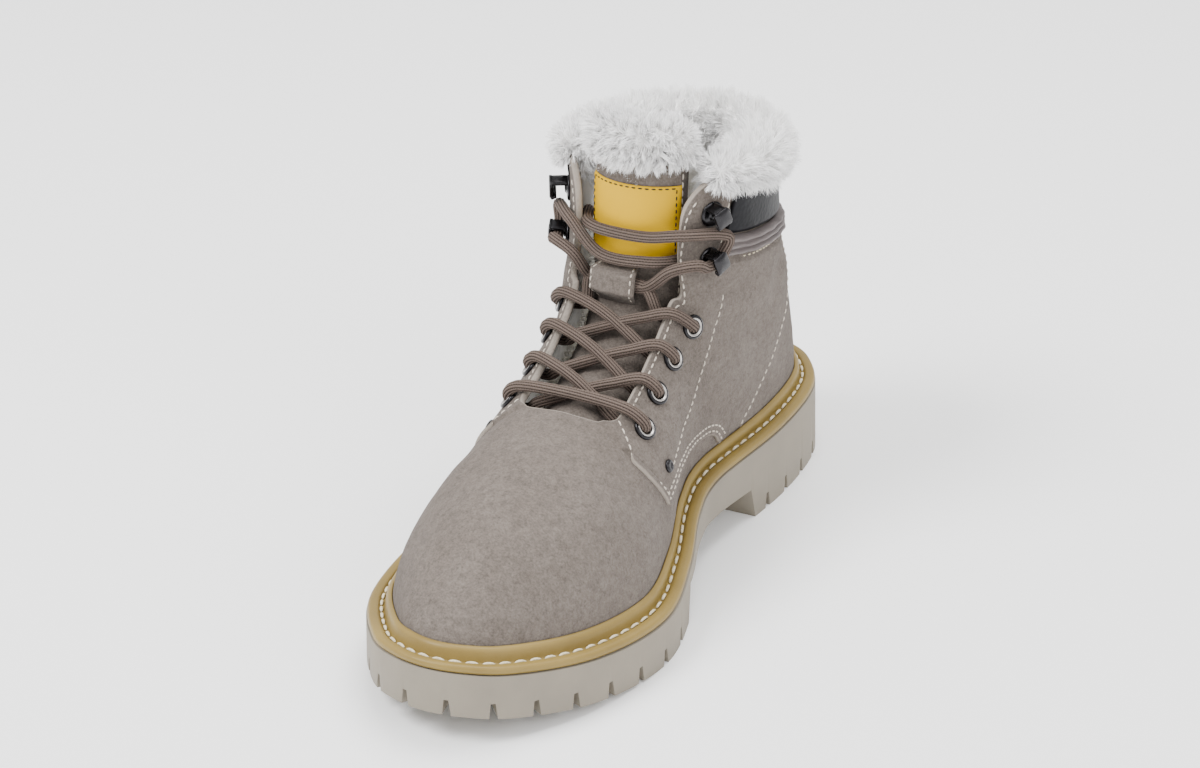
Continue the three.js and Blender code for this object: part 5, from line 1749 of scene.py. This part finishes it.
def strands(name, roots, normals, length, width, clumps, flow, material, slot, spread=0.35):
    """Pile as many fine tapered blades that lean together in tufts."""
    count = len(roots)
    centres = rng.integers(0, count, clumps)
    clump = np.concatenate([
        np.linalg.norm(roots[i:i + 2000, None] - roots[centres][None], axis=-1).argmin(1)
        for i in range(0, count, 2000)])
    lean = rng.normal(0, 0.32, (clumps, 3))
    size = length * rng.uniform(0.72, 1.15, clumps)[clump] * rng.uniform(0.75, 1.1, count)
    heading = unit(normals + lean[clump] + rng.normal(0, spread, (count, 3)) * 0.6 + flow(roots, normals))
    tip = roots + heading * size[:, None]
    goal = roots[centres][clump] + unit(normals[centres] + lean)[clump] * size[:, None]
    tip = tip * 0.52 + goal * 0.48
    tip = roots + unit(tip - roots) * size[:, None]
    bend = roots + (tip - roots) * 0.5 + normals * (size * 0.14)[:, None] + rng.normal(0, 0.25, (count, 3))
    sideways = unit(np.cross(tip - roots, rng.normal(0, 1, (count, 3))))
    half = width / 2 * rng.uniform(0.7, 1.2, count)[:, None]
    base = roots - normals * 0.6
    points = np.stack([
        base - sideways * half, base + sideways * half,
        bend - sideways * half * 0.8, bend + sideways * half * 0.8, tip], 1)
    uv = np.tile([[0, 0], [1, 0], [0, 0.5], [1, 0.5], [0.5, 1.0]], (count, 1))
    start = np.arange(count) * 5
    quads = np.stack([start, start + 1, start + 3, start + 2], -1).tolist()
    tips = np.stack([start + 2, start + 3, start + 4], -1).tolist()
    return new_piece(name, points, quads + tips, material, slot=slot, uv=uv)


def no_flow(_, normals):
    return np.zeros_like(normals)


def fall_outside(_, normals):
    """The pile droops on the collar's outside and stands on its top."""
    low = smooth((0.55 - normals[:, 2]) / 0.8)
    flow = np.zeros_like(normals)
    flow[:, 2] = -0.55 * low + 0.15
    return flow


def end_tufts(grid, count):
    """Roots and normals on the two ends of a fur body."""
    points, normals = [], []
    for end, beside in ((grid[0], grid[2]), (grid[-1], grid[-3])):
        centre = end.mean(0)
        out = unit(centre - beside.mean(0))
        ring = end[rng.integers(0, len(end), count)]
        share = np.sqrt(rng.uniform(0, 1, count))[:, None]
        points.append(centre + (ring - centre) * share)
        normals.append(unit(out + 0.6 * unit(ring - centre) * share))
    return np.vstack(points), np.vstack(normals)


def with_ends(grid, count, wanted, at_ends):
    points, normals = scatter(grid, count, wanted)
    ends, outward = end_tufts(grid, at_ends)
    return np.vstack([points, ends]), np.vstack([normals, outward])


collar_grid = fur_collar_grid()
fur_body("fur_body_collar", collar_grid, "fur_collar")
roots, normals = with_ends(collar_grid, COLLAR_STRANDS, lambda c: (c > 0.16) & (c < 0.97), 1100)
strands("fur_pile_collar", roots, normals, 6.6, 0.3, 1700, fall_outside, FUR, "fur")
tongue_grid = fur_tongue_grid()
fur_body("fur_body_tongue", tongue_grid, "fur_tongue")
roots, normals = with_ends(tongue_grid, TONGUE_STRANDS, lambda c: (c > 0.17) & (c < 0.92), 700)
strands("fur_pile_tongue", roots, normals, 6.2, 0.3, 750, fall_outside, FUR, "fur")


def tongue_pile():
    """Short wool on the tongue's back."""
    count = TONGUE_BACK_STRANDS
    share = rng.uniform(0.42, 1.0, count)
    across = rng.uniform(-TONGUE_HALF_WIDTH + 1, TONGUE_HALF_WIDTH - 1, count)
    points = tongue_point(share, across, np.full(count, -TONGUE_THICKNESS - 0.1))
    normals = -unit(tongue_point(share, across, np.full(count, 1.0)) - points)
    strands("wool_pile_tongue", points, normals, 4.2, 0.34, 900, no_flow, WOOL,
            "insole", spread=0.7)


tongue_pile()


def lining_pile():
    """Short wool on the lining."""
    rows, columns = lining_front.shape[:2]
    count = LINING_STRANDS
    r = rng.uniform(0, rows - 1.001, count)
    c = rng.integers(0, columns, count)
    points = lining_front[r.astype(int), c] + rng.normal(0, 0.5, (count, 3))
    normals = lining_normals[r.astype(int), c]
    strands("wool_pile", points, normals, 3.4, 0.3, 2600, no_flow, WOOL, "insole",
            spread=0.8)


lining_pile()
